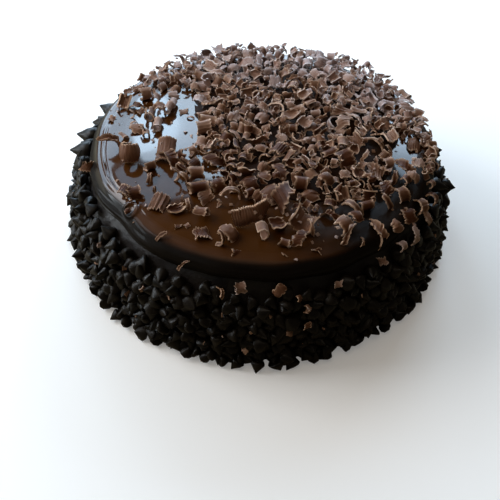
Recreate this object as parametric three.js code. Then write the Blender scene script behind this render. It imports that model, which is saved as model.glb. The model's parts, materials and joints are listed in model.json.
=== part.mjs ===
// Chocolate mud cake, whole and uncut, in millimetres with +Z up.
// The origin is the middle of the flat base that the cake stands on; the front is towards -Y.
// From the inside out: the coated cake, a coat of chocolate drops pressed into its side, a poured
// glaze that runs over the rim as a short skirt, a heap of chocolate shavings on the glaze, and
// the largest shavings, which are ribbed curls, as pieces of their own.

import * as THREE from 'three';

// ---- Driving dimensions ----

// The coated cake.
const BASE_RADIUS = 96.5;
const SIDE_HEIGHT = 46.5; // from the base to the foot of the glaze's skirt
const SHOULDER_INSET = 12.4; // how far the side comes in over that height
const SIDE_CURVE = 2.6; // 1 would be a straight cone, more keeps the lower side upright
const SIDE_ROWS = 4;
const TOP_LEAN = { x: 2.8, y: -1.6 }; // the top sits this far off the middle of the base
const BACK_FALL = 0.0003; // share of the height lost for each mm towards the back

// The glaze.
const RIM_RADIUS = 82; // where the top turns down
const RIM_HEIGHT = 55;
const RIM_ROUNDING = 2.8; // how far below the rim the surface has turned steep
const DOME_RISE = 3.4; // the middle of the top above the rim
const GLAZE_DEPTH = 3.2;
const SKIRT_FLARE = 5.2; // how far the skirt stands out below the rim
const SKIRT_WANDER = 0.9; // rise and fall of the skirt's lower edge
const CREASE = { angle: -141, width: 7, depth: 2.2 }; // the fold at the front left of the rim

// The coat of chocolate drops.
const DROP_PITCH = 8.6;
const DROP_HEIGHT = 6.2; // how far a drop stands out of the cake half way up the side
const TOP_PILE = 3.5; // how much further out the drops reach under the skirt
const FOOT_PILE = { extra: 3.0, spread: 5 }; // drops that lie on what the cake stands on
const COAT_VALLEY = 0.42; // share of the coat's thickness that is left between two drops
const COAT_UNEVENNESS = 0.3; // share of a drop's height that may be missing
const COAT_TOP = 45.3;

// The heap of shavings.
const HEAP_MIDDLE = { x: 16, y: 0 };
const HEAP_HEIGHT = 5.6;
const HEAP_EDGE = 1.4; // the heap's thickness along its outline
const HEAP_RIM_MARGIN = 4.5; // from the heap's outline to the rim
const FRONT_MARGIN = { angle: -98, width: 45, extra: 13 };
const HEAP_RELIEF = 1.6;
const BARE_GLAZE = { angle: 206, width: 48, share: 0.44 }; // where the glaze is left showing

// The ribbed curls: place of the middle, heading and lean of the axis (0 lies flat, 90 stands
// upright), length, radius, wall, how far round the sheet is rolled, and where its mouth points as
// seen along a flat axis, with 90 for straight up. All angles are in degrees.
const ROLLS = {
  roll_front: {
    x: -1.5, y: -62.5, heading: 118, lean: 66, length: 8, radius: 14.5, wall: 1.5, turn: 76, mouth: -90,
  },
  roll_left: {
    x: -60.5, y: -22, heading: 90, lean: 60, length: 9, radius: 5, wall: 1.3, turn: 285, mouth: -130,
  },
  roll_mid_left: {
    x: -43.8, y: -17, heading: 86, lean: 14, length: 14, radius: 4.6, wall: 1.2, turn: 135, mouth: -90,
  },
  roll_lower_left: {
    x: -43.8, y: -51.5, heading: 74, lean: 8, length: 9.5, radius: 4.4, wall: 1.2, turn: 112, mouth: -90,
  },
  roll_lip: {
    x: 21, y: -65, heading: 58, lean: 12, length: 10, radius: 4.8, wall: 1.2, turn: 175, mouth: 110,
  },
};
const RIB_DEPTH = 0.4;

// Fineness of the faceted surfaces, and the gap that neighbours keep.
const GAP = 0.3;
const CAKE_SEGMENTS = 54;
const GLAZE_SEGMENTS = 66;
const HEAP_SEGMENTS = 56;
const ROLL_SEGMENTS = 18;
const RIM_STEPS = [0, 0.14, 0.34, 0.52, 0.68, 0.84, 1];
const DOME_RADII = [62, 40, 18];
const SHOULDER_STEPS = [0.14, 0.5, 0.84];
const UNDER_DOME_RADII = [58, 30];

// ---- Shared helpers ----

const radians = THREE.MathUtils.degToRad;

// A repeatable number from 0 to 1 for each pair of counters.
function chance(i, j) {
  const wave = Math.sin(i * 12.9898 + j * 78.233 + 4.1) * 43758.5453;
  return wave - Math.floor(wave);
}

// A smooth bump of height 1 at one heading, both in degrees.
function bumpAt(angle, middle, width) {
  const away = THREE.MathUtils.euclideanModulo(angle - middle + 180, 360) - 180;
  return Math.exp(-((away / width) ** 2));
}

// A hand-made cake isn't quite round: the factor on every radius at one heading.
function outOfRound(angle) {
  const lobes = 0.006 * Math.cos(radians(3 * (angle - 145)));
  return 1 + lobes + 0.01 * Math.cos(radians(2 * (angle - 150)));
}

// The cake sank a little towards the back as it baked.
function settled(height, y) {
  return height * (1 - BACK_FALL * y);
}

// A point at a heading, a distance from the cake's leaning axis, and a height.
function onCake(angle, radius, height) {
  const reach = radius * outOfRound(angle);
  const lean = height / RIM_HEIGHT;
  const x = TOP_LEAN.x * lean + reach * Math.cos(radians(angle));
  const y = TOP_LEAN.y * lean + reach * Math.sin(radians(angle));
  return new THREE.Vector3(x, y, settled(height, y));
}

function ring(segments, pointAt) {
  return Array.from({ length: segments }, (_, i) => pointAt((i * 360) / segments, i));
}

function surface(positions, faces) {
  const shape = new THREE.BufferGeometry();
  shape.setAttribute('position', new THREE.Float32BufferAttribute(positions, 3));
  shape.setIndex(faces);
  shape.computeVertexNormals();
  return shape;
}

// A closed surface through rings of points. A ring of one point is a pole, and with joined set
// the last ring meets the first one.
function shellThrough(rings, joined = false) {
  const positions = [];
  const starts = [];
  for (const points of rings) {
    starts.push(positions.length / 3);
    for (const point of points) positions.push(point.x, point.y, point.z);
  }
  const faces = [];
  const bands = joined ? rings.length : rings.length - 1;
  for (let k = 0; k < bands; k += 1) {
    const next = (k + 1) % rings.length;
    const below = rings[k].length;
    const above = rings[next].length;
    const count = Math.max(below, above);
    for (let i = 0; i < count; i += 1) {
      const a = starts[k] + (i % below);
      const b = starts[k] + ((i + 1) % below);
      const c = starts[next] + ((i + 1) % above);
      const d = starts[next] + (i % above);
      if (a !== b) faces.push(a, b, c);
      if (c !== d) faces.push(a, c, d);
    }
  }
  return surface(positions, faces);
}

function chocolate(colour, roughness) {
  return new THREE.MeshStandardMaterial({ color: colour, roughness, metalness: 0 });
}

function piece(name, geometry, material) {
  const mesh = new THREE.Mesh(geometry, material);
  mesh.name = name;
  return mesh;
}

// ---- The cake's own outline ----

// The coated side, from the base up to the foot of the skirt.
function sideRadius(height) {
  return BASE_RADIUS - SHOULDER_INSET * (height / SIDE_HEIGHT) ** SIDE_CURVE;
}

// The outward direction of the side at one height: x is away from the axis and y is up.
function sideOutward(height) {
  const step = 0.5;
  const fall = (sideRadius(height) - sideRadius(height + step)) / step;
  return new THREE.Vector2(1, fall).normalize();
}

// How far the drops reach out of the side at one height.
function dropReach(height) {
  const underSkirt = TOP_PILE * (height / COAT_TOP) ** 2.5;
  const atFoot = FOOT_PILE.extra * Math.exp(-height / FOOT_PILE.spread);
  return DROP_HEIGHT + underSkirt + atFoot;
}

// The glaze's upper surface over the middle of the cake.
function domeHeight(radius) {
  return RIM_HEIGHT + 1 + DOME_RISE * (1 - (radius / RIM_RADIUS) ** 2);
}

// The rim follows the cake's outline, apart from one small fold.
function rimRadius(angle) {
  return RIM_RADIUS - CREASE.depth * bumpAt(angle, CREASE.angle, CREASE.width);
}

// The skirt's lower edge wanders up and down as the glaze ran.
function skirtFoot(angle) {
  const turn = radians(angle);
  const wander = 0.5 + 0.3 * Math.sin(4 * turn) + 0.2 * Math.sin(7 * turn + 1);
  return SIDE_HEIGHT + GAP + SKIRT_WANDER * wander;
}

// The poured top's outline at one heading, from the skirt's foot to the start of the dome.
function rimProfile(angle) {
  const rim = rimRadius(angle);
  const foot = skirtFoot(angle);
  return new THREE.SplineCurve([
    new THREE.Vector2(rim + SKIRT_FLARE * 0.88, foot),
    new THREE.Vector2(rim + SKIRT_FLARE, foot + 3),
    new THREE.Vector2(rim + SKIRT_FLARE * 0.86, RIM_HEIGHT - RIM_ROUNDING),
    new THREE.Vector2(rim + SKIRT_FLARE * 0.45, RIM_HEIGHT - RIM_ROUNDING * 0.3),
    new THREE.Vector2(rim, RIM_HEIGHT + 0.4),
    new THREE.Vector2(rim - 5, domeHeight(rim - 5)),
  ]);
}

// The same outline moved in by the glaze's depth: the shoulder that the glaze was poured on.
function shoulderPoint(angle, share, clearance) {
  const outline = rimProfile(angle);
  const at = outline.getPointAt(share);
  const along = outline.getTangentAt(share);
  const depth = GLAZE_DEPTH * (0.72 + 0.28 * share) + clearance;
  return new THREE.Vector2(at.x - along.y * depth, at.y + along.x * depth);
}

// The side's rings, a clearance out from the cake: the drops' coat fits on the same ones.
function sideRings(segments, clearance) {
  const heights = Array.from({ length: SIDE_ROWS + 1 }, (_, row) => (COAT_TOP * row) / SIDE_ROWS);
  return heights.map((height) => ring(segments, (angle) => (
    onCake(angle, sideRadius(height) + clearance, height)
  )));
}

// What lies under the glaze, from the skirt's foot to the middle of the top.
function underGlazeRings(segments, clearance) {
  const shoulder = SHOULDER_STEPS.map((share) => ring(segments, (angle) => {
    const at = shoulderPoint(angle, share, clearance);
    return onCake(angle, at.x, at.y);
  }));
  const depth = GLAZE_DEPTH + clearance;
  const dome = UNDER_DOME_RADII.map((radius) => ring(segments, (angle) => (
    onCake(angle, radius, domeHeight(radius) - depth)
  )));
  return [...shoulder, ...dome, [onCake(0, 0, domeHeight(0) - depth)]];
}

// ---- The sub-parts ----

function makeCake() {
  const rings = [
    [onCake(0, 0, 0)],
    ...sideRings(CAKE_SEGMENTS, 0),
    ...underGlazeRings(CAKE_SEGMENTS, GAP),
  ];
  return piece('cake', shellThrough(rings), chocolate(0x1a100a, 0.45));
}

function makeGlaze() {
  const rim = RIM_STEPS.map((share) => ring(GLAZE_SEGMENTS, (angle) => {
    const at = rimProfile(angle).getPointAt(share);
    return onCake(angle, at.x, at.y);
  }));
  const dome = DOME_RADII.map((radius) => ring(GLAZE_SEGMENTS, (angle) => (
    onCake(angle, radius, domeHeight(radius))
  )));
  const underside = underGlazeRings(GLAZE_SEGMENTS, 0).reverse();
  const rings = [...rim, ...dome, [onCake(0, 0, domeHeight(0))], ...underside];
  return piece('glaze', shellThrough(rings, true), chocolate(0x2e1c12, 0.12));
}

// Drops point out on every second ring of the coat, each row half a drop along from the last,
// and the lowest ring spreads over what the cake stands on.
function isTip(column, row) {
  if (row === 0) return column % 2 === 0;
  return row % 2 === 1 && (column + (row - 1) / 2) % 2 === 0;
}

function makeDropCoat() {
  const around = Math.round((2 * Math.PI * BASE_RADIUS) / DROP_PITCH);
  const columns = 2 * around;
  const rows = 2 * Math.round(COAT_TOP / DROP_PITCH);
  const coatPoint = (angle, height, depth) => {
    const outward = sideOutward(height);
    const radius = sideRadius(height) + outward.x * depth;
    return onCake(angle, radius, Math.max(0, height + outward.y * depth * 0.35));
  };
  const inside = sideRings(columns, GAP);
  const rings = [inside[0]];
  for (let row = 0; row <= rows; row += 1) {
    const height = (COAT_TOP * row) / rows;
    rings.push(ring(columns, (angle, i) => {
      const full = 1 - COAT_UNEVENNESS * chance(i, row);
      const share = isTip(i, row) ? full : COAT_VALLEY + 0.1 * chance(row, i);
      return coatPoint(angle, height, dropReach(height) * share);
    }));
  }
  rings.push(...inside.slice(1).reverse());
  return piece('drop_coat', shellThrough(rings, true), chocolate(0x120c08, 0.5));
}

// The heap's outline: a margin in from the rim, and drawn in where the glaze shows.
function heapReach(angle) {
  const turn = radians(angle);
  const inFront = bumpAt(angle, FRONT_MARGIN.angle, FRONT_MARGIN.width);
  const room = RIM_RADIUS - HEAP_RIM_MARGIN - FRONT_MARGIN.extra * inFront;
  const away = HEAP_MIDDLE.x - TOP_LEAN.x;
  const toRim = -away * Math.cos(turn) + Math.sqrt(room ** 2 - (away * Math.sin(turn)) ** 2);
  const bare = 1 - BARE_GLAZE.share * bumpAt(angle, BARE_GLAZE.angle, BARE_GLAZE.width);
  return toRim * bare * (1 - 0.05 * chance(Math.round(angle), 3));
}

function glazeHeightAt(x, y) {
  return settled(domeHeight(Math.hypot(x - TOP_LEAN.x, y - TOP_LEAN.y)), y);
}

// The heap's thickness at a share of its reach: nearly level, and thin only along the outline.
function heapRise(share) {
  return HEAP_EDGE + (HEAP_HEIGHT - HEAP_EDGE) * (1 - share ** 4);
}

function heapPoint(angle, share, lift) {
  const reach = heapReach(angle) * share;
  const x = HEAP_MIDDLE.x + reach * Math.cos(radians(angle));
  const y = HEAP_MIDDLE.y + reach * Math.sin(radians(angle));
  return new THREE.Vector3(x, y, glazeHeightAt(x, y) + lift);
}

function makeShavingsHeap() {
  const topShares = [1, 0.93, 0.82, 0.68, 0.52, 0.34, 0.16];
  const footShares = [0.5, 0.96];
  const rings = [[heapPoint(0, 0, GAP)]];
  for (const share of footShares) {
    rings.push(ring(HEAP_SEGMENTS, (angle) => heapPoint(angle, share, GAP)));
  }
  topShares.forEach((share, row) => {
    rings.push(ring(HEAP_SEGMENTS, (angle, i) => {
      const relief = HEAP_RELIEF * share * (chance(i, row) - 0.5);
      return heapPoint(angle, share, heapRise(share) + relief);
    }));
  });
  rings.push([heapPoint(0, 0, HEAP_HEIGHT)]);
  return piece('shavings', shellThrough(rings), chocolate(0x50392e, 0.7));
}

// How high the glaze or the heap reaches at one spot, its relief included.
function heightUnder(x, y) {
  const angle = THREE.MathUtils.radToDeg(Math.atan2(y - HEAP_MIDDLE.y, x - HEAP_MIDDLE.x));
  const share = Math.hypot(x - HEAP_MIDDLE.x, y - HEAP_MIDDLE.y) / heapReach(angle);
  const onHeap = share < 1.06;
  return glazeHeightAt(x, y) + (onHeap ? heapRise(Math.min(share, 1)) + HEAP_RELIEF / 2 : 0);
}

// A sheet of chocolate that crumpled into ribs and curled up as the scraper pushed it. The ribs run
// along the curl's axis.
function makeRoll(name, roll) {
  const section = (along) => {
    const outer = [];
    const inner = [];
    for (let i = 0; i <= ROLL_SEGMENTS; i += 1) {
      const turn = radians(90 + roll.turn * (i / ROLL_SEGMENTS - 0.5));
      const reach = roll.radius - (i % 2) * RIB_DEPTH;
      outer.push(new THREE.Vector3(along, reach * Math.cos(turn), reach * Math.sin(turn)));
      const bore = reach - roll.wall;
      inner.push(new THREE.Vector3(along, bore * Math.cos(turn), bore * Math.sin(turn)));
    }
    return [...outer, ...inner.reverse()];
  };
  const strip = rolledSheet([section(-roll.length / 2), section(roll.length / 2)]);
  strip.center();
  strip.rotateX(radians(roll.mouth + 90));
  strip.rotateY(-radians(roll.lean));
  strip.rotateZ(radians(roll.heading));
  const mesh = piece(name, strip, chocolate(0x5a4034, 0.65));
  mesh.position.set(roll.x, roll.y, restingHeight(roll, strip));
  return mesh;
}

// The height of a curl's middle when it rests on the highest spot under it. Both ends have the same
// corners in the same order, so the spots between them lie on the lines from end to end.
function restingHeight(roll, strip) {
  const corners = strip.getAttribute('position');
  const half = corners.count / 2;
  const start = new THREE.Vector3();
  const end = new THREE.Vector3();
  let height = 0;
  for (let i = 0; i < half; i += 1) {
    start.fromBufferAttribute(corners, i);
    end.fromBufferAttribute(corners, i + half);
    for (const share of [0, 0.2, 0.4, 0.6, 0.8, 1]) {
      const spot = start.clone().lerp(end, share);
      height = Math.max(height, heightUnder(roll.x + spot.x, roll.y + spot.y) - spot.z);
    }
  }
  return height + GAP;
}

// A closed strip: equal sections one after another, with both ends faced.
function rolledSheet(sections) {
  const count = sections[0].length;
  const positions = sections.flat().flatMap((point) => [point.x, point.y, point.z]);
  const faces = [];
  for (let k = 0; k < sections.length - 1; k += 1) {
    for (let i = 0; i < count; i += 1) {
      const a = k * count + i;
      const b = k * count + ((i + 1) % count);
      faces.push(a, b, b + count, a, b + count, a + count);
    }
  }
  const last = (sections.length - 1) * count;
  for (let i = 0; i < ROLL_SEGMENTS; i += 1) {
    const opposite = count - 1 - i;
    faces.push(i, opposite, i + 1, i + 1, opposite, opposite - 1);
    faces.push(last + i, last + i + 1, last + opposite);
    faces.push(last + i + 1, last + opposite - 1, last + opposite);
  }
  return surface(positions, faces);
}

// ---- The whole cake ----

const mudCake = new THREE.Group();
mudCake.add(makeCake(), makeDropCoat(), makeGlaze(), makeShavingsHeap());
for (const [name, roll] of Object.entries(ROLLS)) mudCake.add(makeRoll(name, roll));

// The middle of the outline seen from above is the origin.
const outline = new THREE.Box3().setFromObject(mudCake);
const middle = outline.getCenter(new THREE.Vector3());
mudCake.position.set(-middle.x, -middle.y, 0);

export default mudCake;
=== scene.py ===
# %% [markdown]
# # A chocolate mud cake with drops and shavings
#
# The object is one whole round cake. Pointed chocolate drops cover its side, a thick glossy glaze
# lies on top and rolls over the shoulder, and milk chocolate shavings are heaped on the glaze.
# The lesson builds it from the inside out: the coated cake, the glaze, the drops, the heap, the
# large curls, the loose bits, and then the finishes, the floor, the light and the camera.
#
# The measured model comes first. It is the fixed frame, so its box says how large the cake may be.

import json
import math

import bmesh
import bpy
import numpy as np
from mathutils import Euler, Matrix, Vector
from mathutils.bvhtree import BVHTree

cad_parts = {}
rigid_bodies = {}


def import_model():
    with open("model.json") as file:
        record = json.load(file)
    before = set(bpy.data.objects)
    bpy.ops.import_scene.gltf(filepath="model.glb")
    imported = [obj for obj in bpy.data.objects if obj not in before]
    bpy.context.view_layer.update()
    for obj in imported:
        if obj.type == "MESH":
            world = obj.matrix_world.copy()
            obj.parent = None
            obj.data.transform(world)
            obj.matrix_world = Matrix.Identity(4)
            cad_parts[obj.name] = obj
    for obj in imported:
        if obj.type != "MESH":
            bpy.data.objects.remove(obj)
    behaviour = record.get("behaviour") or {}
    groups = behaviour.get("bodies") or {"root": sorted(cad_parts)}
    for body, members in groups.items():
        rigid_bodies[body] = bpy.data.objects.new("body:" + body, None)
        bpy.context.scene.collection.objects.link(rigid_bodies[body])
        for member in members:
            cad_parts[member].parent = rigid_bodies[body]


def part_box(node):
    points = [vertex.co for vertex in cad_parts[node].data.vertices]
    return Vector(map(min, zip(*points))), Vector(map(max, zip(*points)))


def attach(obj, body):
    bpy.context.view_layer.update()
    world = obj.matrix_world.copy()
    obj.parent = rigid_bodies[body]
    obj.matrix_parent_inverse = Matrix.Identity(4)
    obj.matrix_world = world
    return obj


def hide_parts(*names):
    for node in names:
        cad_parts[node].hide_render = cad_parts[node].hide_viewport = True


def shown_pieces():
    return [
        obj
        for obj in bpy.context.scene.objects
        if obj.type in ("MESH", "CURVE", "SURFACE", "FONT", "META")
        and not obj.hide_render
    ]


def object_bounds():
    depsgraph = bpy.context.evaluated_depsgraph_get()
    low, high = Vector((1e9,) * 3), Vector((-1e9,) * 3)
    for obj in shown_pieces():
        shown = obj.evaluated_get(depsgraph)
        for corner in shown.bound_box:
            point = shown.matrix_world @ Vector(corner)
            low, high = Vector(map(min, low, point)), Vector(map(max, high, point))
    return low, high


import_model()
cad_box = [list(corner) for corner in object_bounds()]
print("frame box in metres:", cad_box)

# %% [markdown]
# ## Shared measures
#
# Everything is worked out in millimetres, as a baker's ruler would, and turned into metres when a
# mesh is made. A hand-made cake isn't quite round or level: its top leans off the middle of its
# base, it bulges along one diagonal and it sank towards the back. One function holds all of that,
# so every layer follows the same wobble.

# %% The cake's outline
MM = 0.001
CENTRING = (0.25, 1.06)
BASE_RADIUS, SIDE_HEIGHT, SHOULDER_INSET, SIDE_CURVE = 96.5, 46.5, 12.4, 2.6
TOP_LEAN = (2.8, -1.6)
BACK_FALL = 0.0003
RIM_RADIUS, RIM_HEIGHT, RIM_ROUNDING, DOME_RISE = 82.0, 55.0, 2.8, 3.4
GLAZE_DEPTH, SKIRT_FLARE = 3.2, 5.2


def bump_at(angle, middle, width):
    """A smooth bump of height 1 at one heading, in degrees."""
    away = (angle - middle + 180.0) % 360.0 - 180.0
    return np.exp(-((away / width) ** 2))


def out_of_round(angle):
    lobes = 0.006 * np.cos(np.radians(3 * (angle - 145)))
    return 1 + lobes + 0.01 * np.cos(np.radians(2 * (angle - 150)))


def on_cake(angle, radius, height):
    """Points at a heading, a distance from the leaning axis and a height, in millimetres."""
    angle, radius, height = np.broadcast_arrays(angle, radius, height)
    reach = radius * out_of_round(angle)
    lean = height / RIM_HEIGHT
    x = TOP_LEAN[0] * lean + reach * np.cos(np.radians(angle))
    y = TOP_LEAN[1] * lean + reach * np.sin(np.radians(angle))
    z = height * (1 - BACK_FALL * y)
    return np.stack([x + CENTRING[0], y + CENTRING[1], z], -1)


def side_radius(height):
    return BASE_RADIUS - SHOULDER_INSET * (height / SIDE_HEIGHT) ** SIDE_CURVE


def dome_height(radius):
    return RIM_HEIGHT + 1 + DOME_RISE * (1 - (radius / RIM_RADIUS) ** 2)


print("the coated side is", side_radius(0.0), "mm at the foot and", round(side_radius(45.3), 1), "above")

# %% [markdown]
# ## From rings of points to a closed skin
#
# Cakes and glazes are nearly round, so a stack of rings describes them well. A ring of one point
# closes a pole. Joining the last ring to the first gives a hollow shell with real thickness.

# %% Mesh helpers
def shell_through(rings, joined=False):
    """Vertices and faces of a surface through rings that rise from the bottom outwards."""
    starts = np.cumsum([0] + [len(ring) for ring in rings])
    faces = []
    for k in range(len(rings) if joined else len(rings) - 1):
        after = (k + 1) % len(rings)
        low, high = len(rings[k]), len(rings[after])
        if low == 1 and high == 1:
            continue
        for i in range(max(low, high)):
            a, b = starts[k] + i % low, starts[k] + (i + 1) % low
            c, d = starts[after] + (i + 1) % high, starts[after] + i % high
            corners = (a, c, d) if low == 1 else (a, b, c) if high == 1 else (a, b, c, d)
            faces.append(tuple(int(corner) for corner in corners))
    return np.concatenate(rings), faces


def make_object(name, points, faces, sharp=None):
    """A smooth-shaded mesh object at the origin; sharp is the angle past which an edge is crisp."""
    mesh = bpy.data.meshes.new(name)
    mesh.from_pydata((np.asarray(points) * MM).tolist(), [], faces)
    mesh.update()
    mesh.shade_smooth()
    if sharp is not None:
        mesh.set_sharp_from_angle(angle=math.radians(sharp))
    thing = bpy.data.objects.new(name, mesh)
    bpy.context.scene.collection.objects.link(thing)
    return thing


def store(thing, name, values):
    """One number for each vertex, which a material reads by its name."""
    layer = thing.data.attributes.new(name, "FLOAT", "POINT")
    layer.data.foreach_set("value", np.asarray(values, dtype=np.float32).ravel())


def hand_over(piece, node):
    """Puts the piece on the one body and hides the measured part that it stands in for."""
    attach(piece, "root")
    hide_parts(node)


def ripple(seed, *coordinates):
    """Smooth repeatable unevenness between about -1 and 1, from a few crossing waves."""
    rng = np.random.default_rng(seed)
    total = 0.0
    for _ in range(5):
        phase = rng.uniform(0, 2 * math.pi)
        for coordinate in coordinates:
            phase = phase + coordinate * rng.uniform(0.45, 1.7) * rng.choice([-1, 1])
        total = total + np.sin(phase)
    return total / 3.0


print("helpers ready")

# %% [markdown]
# ## The coated cake
#
# Under the drops is a mud cake masked with a thin dark ganache. Only slivers of it show between
# the drops, yet it carries everything, so it is a real closed body: a flat foot, an upright side
# that draws in at the shoulder, and a level top that the glaze covers. The ganache was spread with
# a palette knife, which leaves shallow bands round the side.

# %% The coated cake
CAKE_SEGMENTS = 150
cake_angles = np.arange(CAKE_SEGMENTS) * 360.0 / CAKE_SEGMENTS


def knife_marks(angle, height):
    turn = np.radians(angle)
    return 0.28 * ripple(11, 3 * np.cos(turn), 3 * np.sin(turn), height / 5.0)


side_heights = np.linspace(0, 45.2, 26)
cake_rings = [on_cake(np.zeros(1), np.zeros(1), np.zeros(1))]
cake_rings += [on_cake(cake_angles, radius, 0.0) for radius in (32.0, 64.0, 90.0)]
cake_rings += [
    on_cake(cake_angles, side_radius(height) - 0.35 + knife_marks(cake_angles, height), height)
    for height in side_heights
]
cake_rings += [
    on_cake(cake_angles, radius, height)
    for radius, height in ((83.0, 47.6), (81.6, 49.4), (79.4, 50.9), (75.0, 51.8))
]
cake_rings += [
    on_cake(cake_angles, radius, dome_height(radius) - GLAZE_DEPTH - 0.9)
    for radius in (64.0, 44.0, 22.0)
]
cake_rings.append(on_cake(np.zeros(1), np.zeros(1), np.full(1, dome_height(0.0) - GLAZE_DEPTH - 0.9)))
coated_cake = make_object("coated_cake", *shell_through(cake_rings))
print("coated cake:", len(coated_cake.data.polygons), "faces")

# %% [markdown]
# ## The poured glaze
#
# A warm glaze was poured on the chilled cake. It stopped in a thick rolled lip where the top turns
# down, with a groove under the lip, a smooth upright skirt below and a thin bead along the lower
# edge where it set. On the cake's left the wall slants and a second pour left a narrow step on the
# rim. At the front left the rim folds into a small crease, where a drip closed into a ring. The
# cross-section is a smooth curve through a few measured points, and ridges stand out from it.

# %% A smooth curve through a few points
def smooth_curve(corners, shares):
    """Points along a smooth curve through all the corners, at shares from 0 to 1 of its length."""
    before, after = 2 * corners[:1] - corners[1:2], 2 * corners[-1:] - corners[-2:-1]
    padded = np.concatenate([before, corners, after])
    fine = []
    for k in range(len(corners) - 1):
        p0, p1, p2, p3 = padded[k:k + 4]
        t = np.linspace(0, 1, 24, endpoint=False)[:, None]
        bend = 2 * p0 - 5 * p1 + 4 * p2 - p3
        twist = 3 * p1 - p0 - 3 * p2 + p3
        fine.append(0.5 * (2 * p1 + (p2 - p0) * t + bend * t**2 + twist * t**3))
    fine = np.concatenate(fine + [corners[-1:]])
    length = np.concatenate([[0], np.cumsum(np.linalg.norm(np.diff(fine, axis=0), axis=1))])
    at = np.asarray(shares) * length[-1]
    return np.stack([np.interp(at, length, fine[:, 0]), np.interp(at, length, fine[:, 1])], -1)


halfway = smooth_curve(np.array([(0.0, 0.0), (1.0, 1.0), (2.0, 0.0)]), [0.5])
print("halfway along a small arch:", halfway.round(2).tolist())

# %% The glaze's cross-section
CREASE_AT, CREASE_WIDTH, CREASE_DEPTH = -141.0, 7.0, 2.2


def skirt_foot(angle):
    turn = np.radians(angle)
    wander = 0.5 + 0.3 * np.sin(4 * turn) + 0.2 * np.sin(7 * turn + 1)
    drips = np.clip(ripple(25, 11 * np.cos(turn), 11 * np.sin(turn)), 0, 1)
    return SIDE_HEIGHT + 0.3 + 0.9 * wander - 1.0 * drips


def left_side(angle):
    """1 on the cake's left, where the glaze set with a crisp edge and a slanting wall."""
    return bump_at(angle, -163.0, 34.0)


def rim_outline(angle, shares):
    """Distance from the axis and height along the lip at one heading, skirt first, then dome."""
    turn = np.radians(angle)
    rim = RIM_RADIUS - CREASE_DEPTH * bump_at(angle, CREASE_AT, CREASE_WIDTH)
    rim = rim + 0.6 * ripple(24, 3 * np.cos(turn), 3 * np.sin(turn))
    rim = rim + 0.22 * ripple(28, 13 * np.cos(turn), 13 * np.sin(turn))
    foot = skirt_foot(angle)
    rounded = np.array([
        (rim + SKIRT_FLARE * 0.88, foot), (rim + SKIRT_FLARE, foot + 3),
        (rim + SKIRT_FLARE * 0.86, RIM_HEIGHT - RIM_ROUNDING),
        (rim + SKIRT_FLARE * 0.45, RIM_HEIGHT - RIM_ROUNDING * 0.3),
        (rim, RIM_HEIGHT + 0.4), (rim - 5, dome_height(rim - 5)),
    ])
    slanting = np.array([
        (rim + 4.8, foot), (rim + 4.7, foot + 2.4), (rim + 2.9, 51.6), (rim + 1.2, 54.0),
        (rim + 0.1, 55.15), (rim - 5, dome_height(rim - 5)),
    ])
    share = left_side(angle)
    return smooth_curve(rounded * (1 - share) + slanting * share, shares)


print("lip outline at the front:", rim_outline(-90.0, [0, 0.4, 0.7, 1]).round(1).tolist())

# %% What stands out of the lip
DRIP_HEADING, DRIP_SHARE = -139.0, 0.66


def ridge(place, middle, width):
    """A smooth ridge of height 1 across a line of places."""
    return np.exp(-(((place - middle) / width) ** 2))


def lip_relief(angle, shares):
    """How far the set glaze stands out of the smooth outline, in millimetres."""
    turn = np.radians(angle)
    round_x, round_y = 6 * math.cos(turn), 6 * math.sin(turn)
    wander = 0.05 * ripple(26, round_x, round_y)
    left = left_side(angle)
    soften = 1 - 0.75 * left
    bead = (0.25 + 0.35 * left) * (1 + 0.6 * ripple(27, round_x * 2, round_y * 2))
    groove = 0.20 * soften * (0.5 + 0.8 * ripple(21, round_x, round_y))
    lip = 0.20 * soften * (0.8 + 1.0 * ripple(22, round_x, round_y))
    runs = 0.40 * soften * ripple(23, round_x * 1.6, round_y * 1.6, shares * 2.0)
    relief = bead * ridge(shares, 0.05, 0.03) - groove * ridge(shares, 0.40 + wander, 0.06)
    relief = relief + lip * ridge(shares, 0.60 + wander, 0.11) + runs * ridge(shares, 0.22, 0.2)
    step = 0.45 * ridge(shares, 0.80, 0.04) - 0.5 * ridge(shares, 0.88, 0.03)
    along = (angle - DRIP_HEADING + 180.0) % 360.0 - 180.0
    from_drip = np.hypot(along * 1.43, (shares - DRIP_SHARE) * 17.0)
    drip = ridge(from_drip, 3.7, 1.0) - 0.6 * ridge(from_drip, 0.0, 2.6)
    return relief + bump_at(angle, -166.0, 22.0) * step + drip


print("relief at the drip:", round(float(lip_relief(DRIP_HEADING, np.array([DRIP_SHARE]))[0]), 2), "mm")

# %% The glaze as a closed shell
even_angles = np.arange(250) * 360.0 / 250
drip_angles = np.arange(-146.0, -131.0, 0.5) % 360.0
glaze_angles = np.unique(np.concatenate([even_angles, drip_angles]).round(3))
lip_shares = np.linspace(0, 1, 40)


def sags(points):
    """The pool never set quite level: long low swells a fraction of a millimetre high."""
    return 0.42 * ripple(31, points[..., 0] / 14.0, points[..., 1] / 14.0)


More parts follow.
